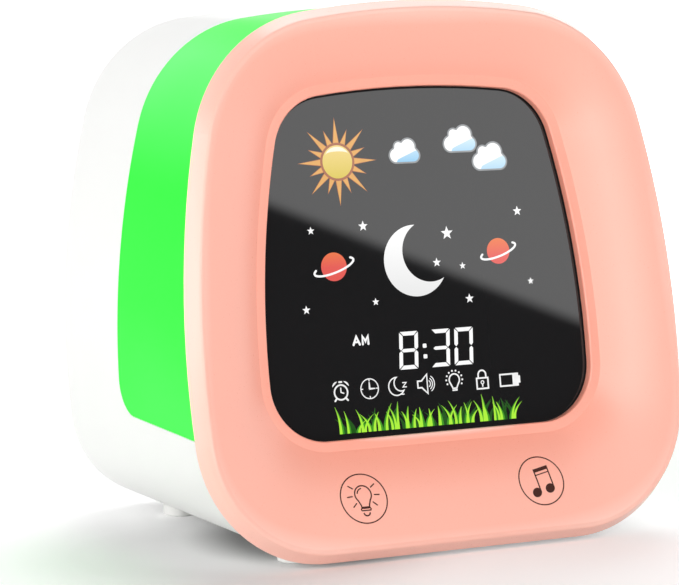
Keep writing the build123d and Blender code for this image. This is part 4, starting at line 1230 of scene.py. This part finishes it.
def add_reflection_card():
    """What the window mirrors: a dark flag with a bright part, whose soft edge crosses the display."""
    size = sizes()
    place = face_place(size.window_depth)
    middle = place(0, 0, 0)
    out = Vector((0, -cos(size.lean), sin(size.lean)))
    mirrored = CAMERA_PLACE - out * 2 * (CAMERA_PLACE - middle).dot(out)
    sight = middle - mirrored
    distance, half, edge_width, strength = 0.9, 0.45, 0.008, 2.75

    def card_point(x, y):
        """The point of the card that the camera sees mirrored at a point of the window."""
        ray = (place(x, y, 0) - mirrored).normalized()
        return mirrored + ray * (sight.length + distance) / ray.dot(sight.normalized())

    # The edge runs over the window from its upper left to its lower right, places in millimetres
    near, far = card_point(-39.2, 20.9), card_point(43.0, -12.3)
    along = (far - near).normalized()
    across = (-sight).cross(along).normalized()
    if across.z < 0:
        across = -across
    centre = (near + far) / 2
    corners = [centre + along * a * half + across * b * half for a, b in ((-1, -1), (1, -1), (1, 1), (-1, 1))]
    board = bpy.data.materials.new("flag_and_softbox")
    board.use_nodes = True
    tree = board.node_tree
    tree.nodes.remove(tree.nodes["Principled BSDF"])
    coords = node(tree, "TexCoord").outputs["Object"]
    offset = node(tree, "VectorMath", "DOT_PRODUCT", i0=coords, i1=tuple(across))
    edge = centre.dot(across)
    low, high = edge - edge_width / 2, edge + edge_width / 2
    level = node(tree, "MapRange", SOFT, Value=offset, i1=low, i2=high, i3=0.0, i4=strength)
    feed(tree.nodes["Material Output"], Surface=node(tree, "Emission", Strength=level))
    card = flat_quad("reflection_card", corners, board)
    card.visible_camera = False
    card.visible_diffuse = False
    card.visible_shadow = False
    card.visible_transmission = False


class CLOCK_OT_stage(Operator):
    """Floor, lamps, reflection card and camera"""

    bl_idname = "clock.stage"
    bl_label = "Studio"

    def execute(self, context):
        add_camera()
        corners = [(x * FLOOR_REACH, y * FLOOR_REACH, 0) for x, y in ((-1, -1), (1, -1), (1, 1), (-1, 1))]
        flat_quad("floor", corners, matt_floor())
        add_world()
        for lamp in LAMPS:
            add_lamp(*lamp)
        add_reflection_card()
        context.scene.view_settings.view_transform = "Standard"
        return {"FINISHED"}


PIECES = (
    CLOCK_OT_stage,
    CLOCK_OT_bezel,
    CLOCK_OT_window,
    CLOCK_OT_band,
    CLOCK_OT_shell,
    CLOCK_OT_keys,
    CLOCK_OT_inside,
    CLOCK_OT_sky,
    CLOCK_OT_night,
    CLOCK_OT_readout,
    CLOCK_OT_icons,
    CLOCK_OT_meadow,
    CLOCK_OT_marks,
)


class CLOCK_PT_panel(Panel):
    """The clock's sizes, colours and pieces"""

    bl_idname = "CLOCK_PT_panel"
    bl_label = "Night-Light Clock"
    bl_space_type = "VIEW_3D"
    bl_region_type = "UI"
    bl_category = "Clock"

    def draw(self, context):
        for group in (context.scene.clock_sizes, context.scene.clock_colours):
            column = self.layout.column()
            for name in group.__annotations__:
                column.prop(group, name)
        column = self.layout.column()
        for piece in PIECES:
            column.operator(piece.bl_idname)


CLASSES = (ClockSizes, ClockColours, *PIECES, CLOCK_PT_panel)


def register():
    for item in CLASSES:
        bpy.utils.register_class(item)
    bpy.types.Scene.clock_sizes = PointerProperty(type=ClockSizes)
    bpy.types.Scene.clock_colours = PointerProperty(type=ClockColours)


def unregister():
    del bpy.types.Scene.clock_colours
    del bpy.types.Scene.clock_sizes
    for item in reversed(CLASSES):
        bpy.utils.unregister_class(item)


def main():
    register()
    for piece in PIECES:
        group, name = piece.bl_idname.split(".")
        getattr(getattr(bpy.ops, group), name)()


if __name__ == "__main__":
    main()
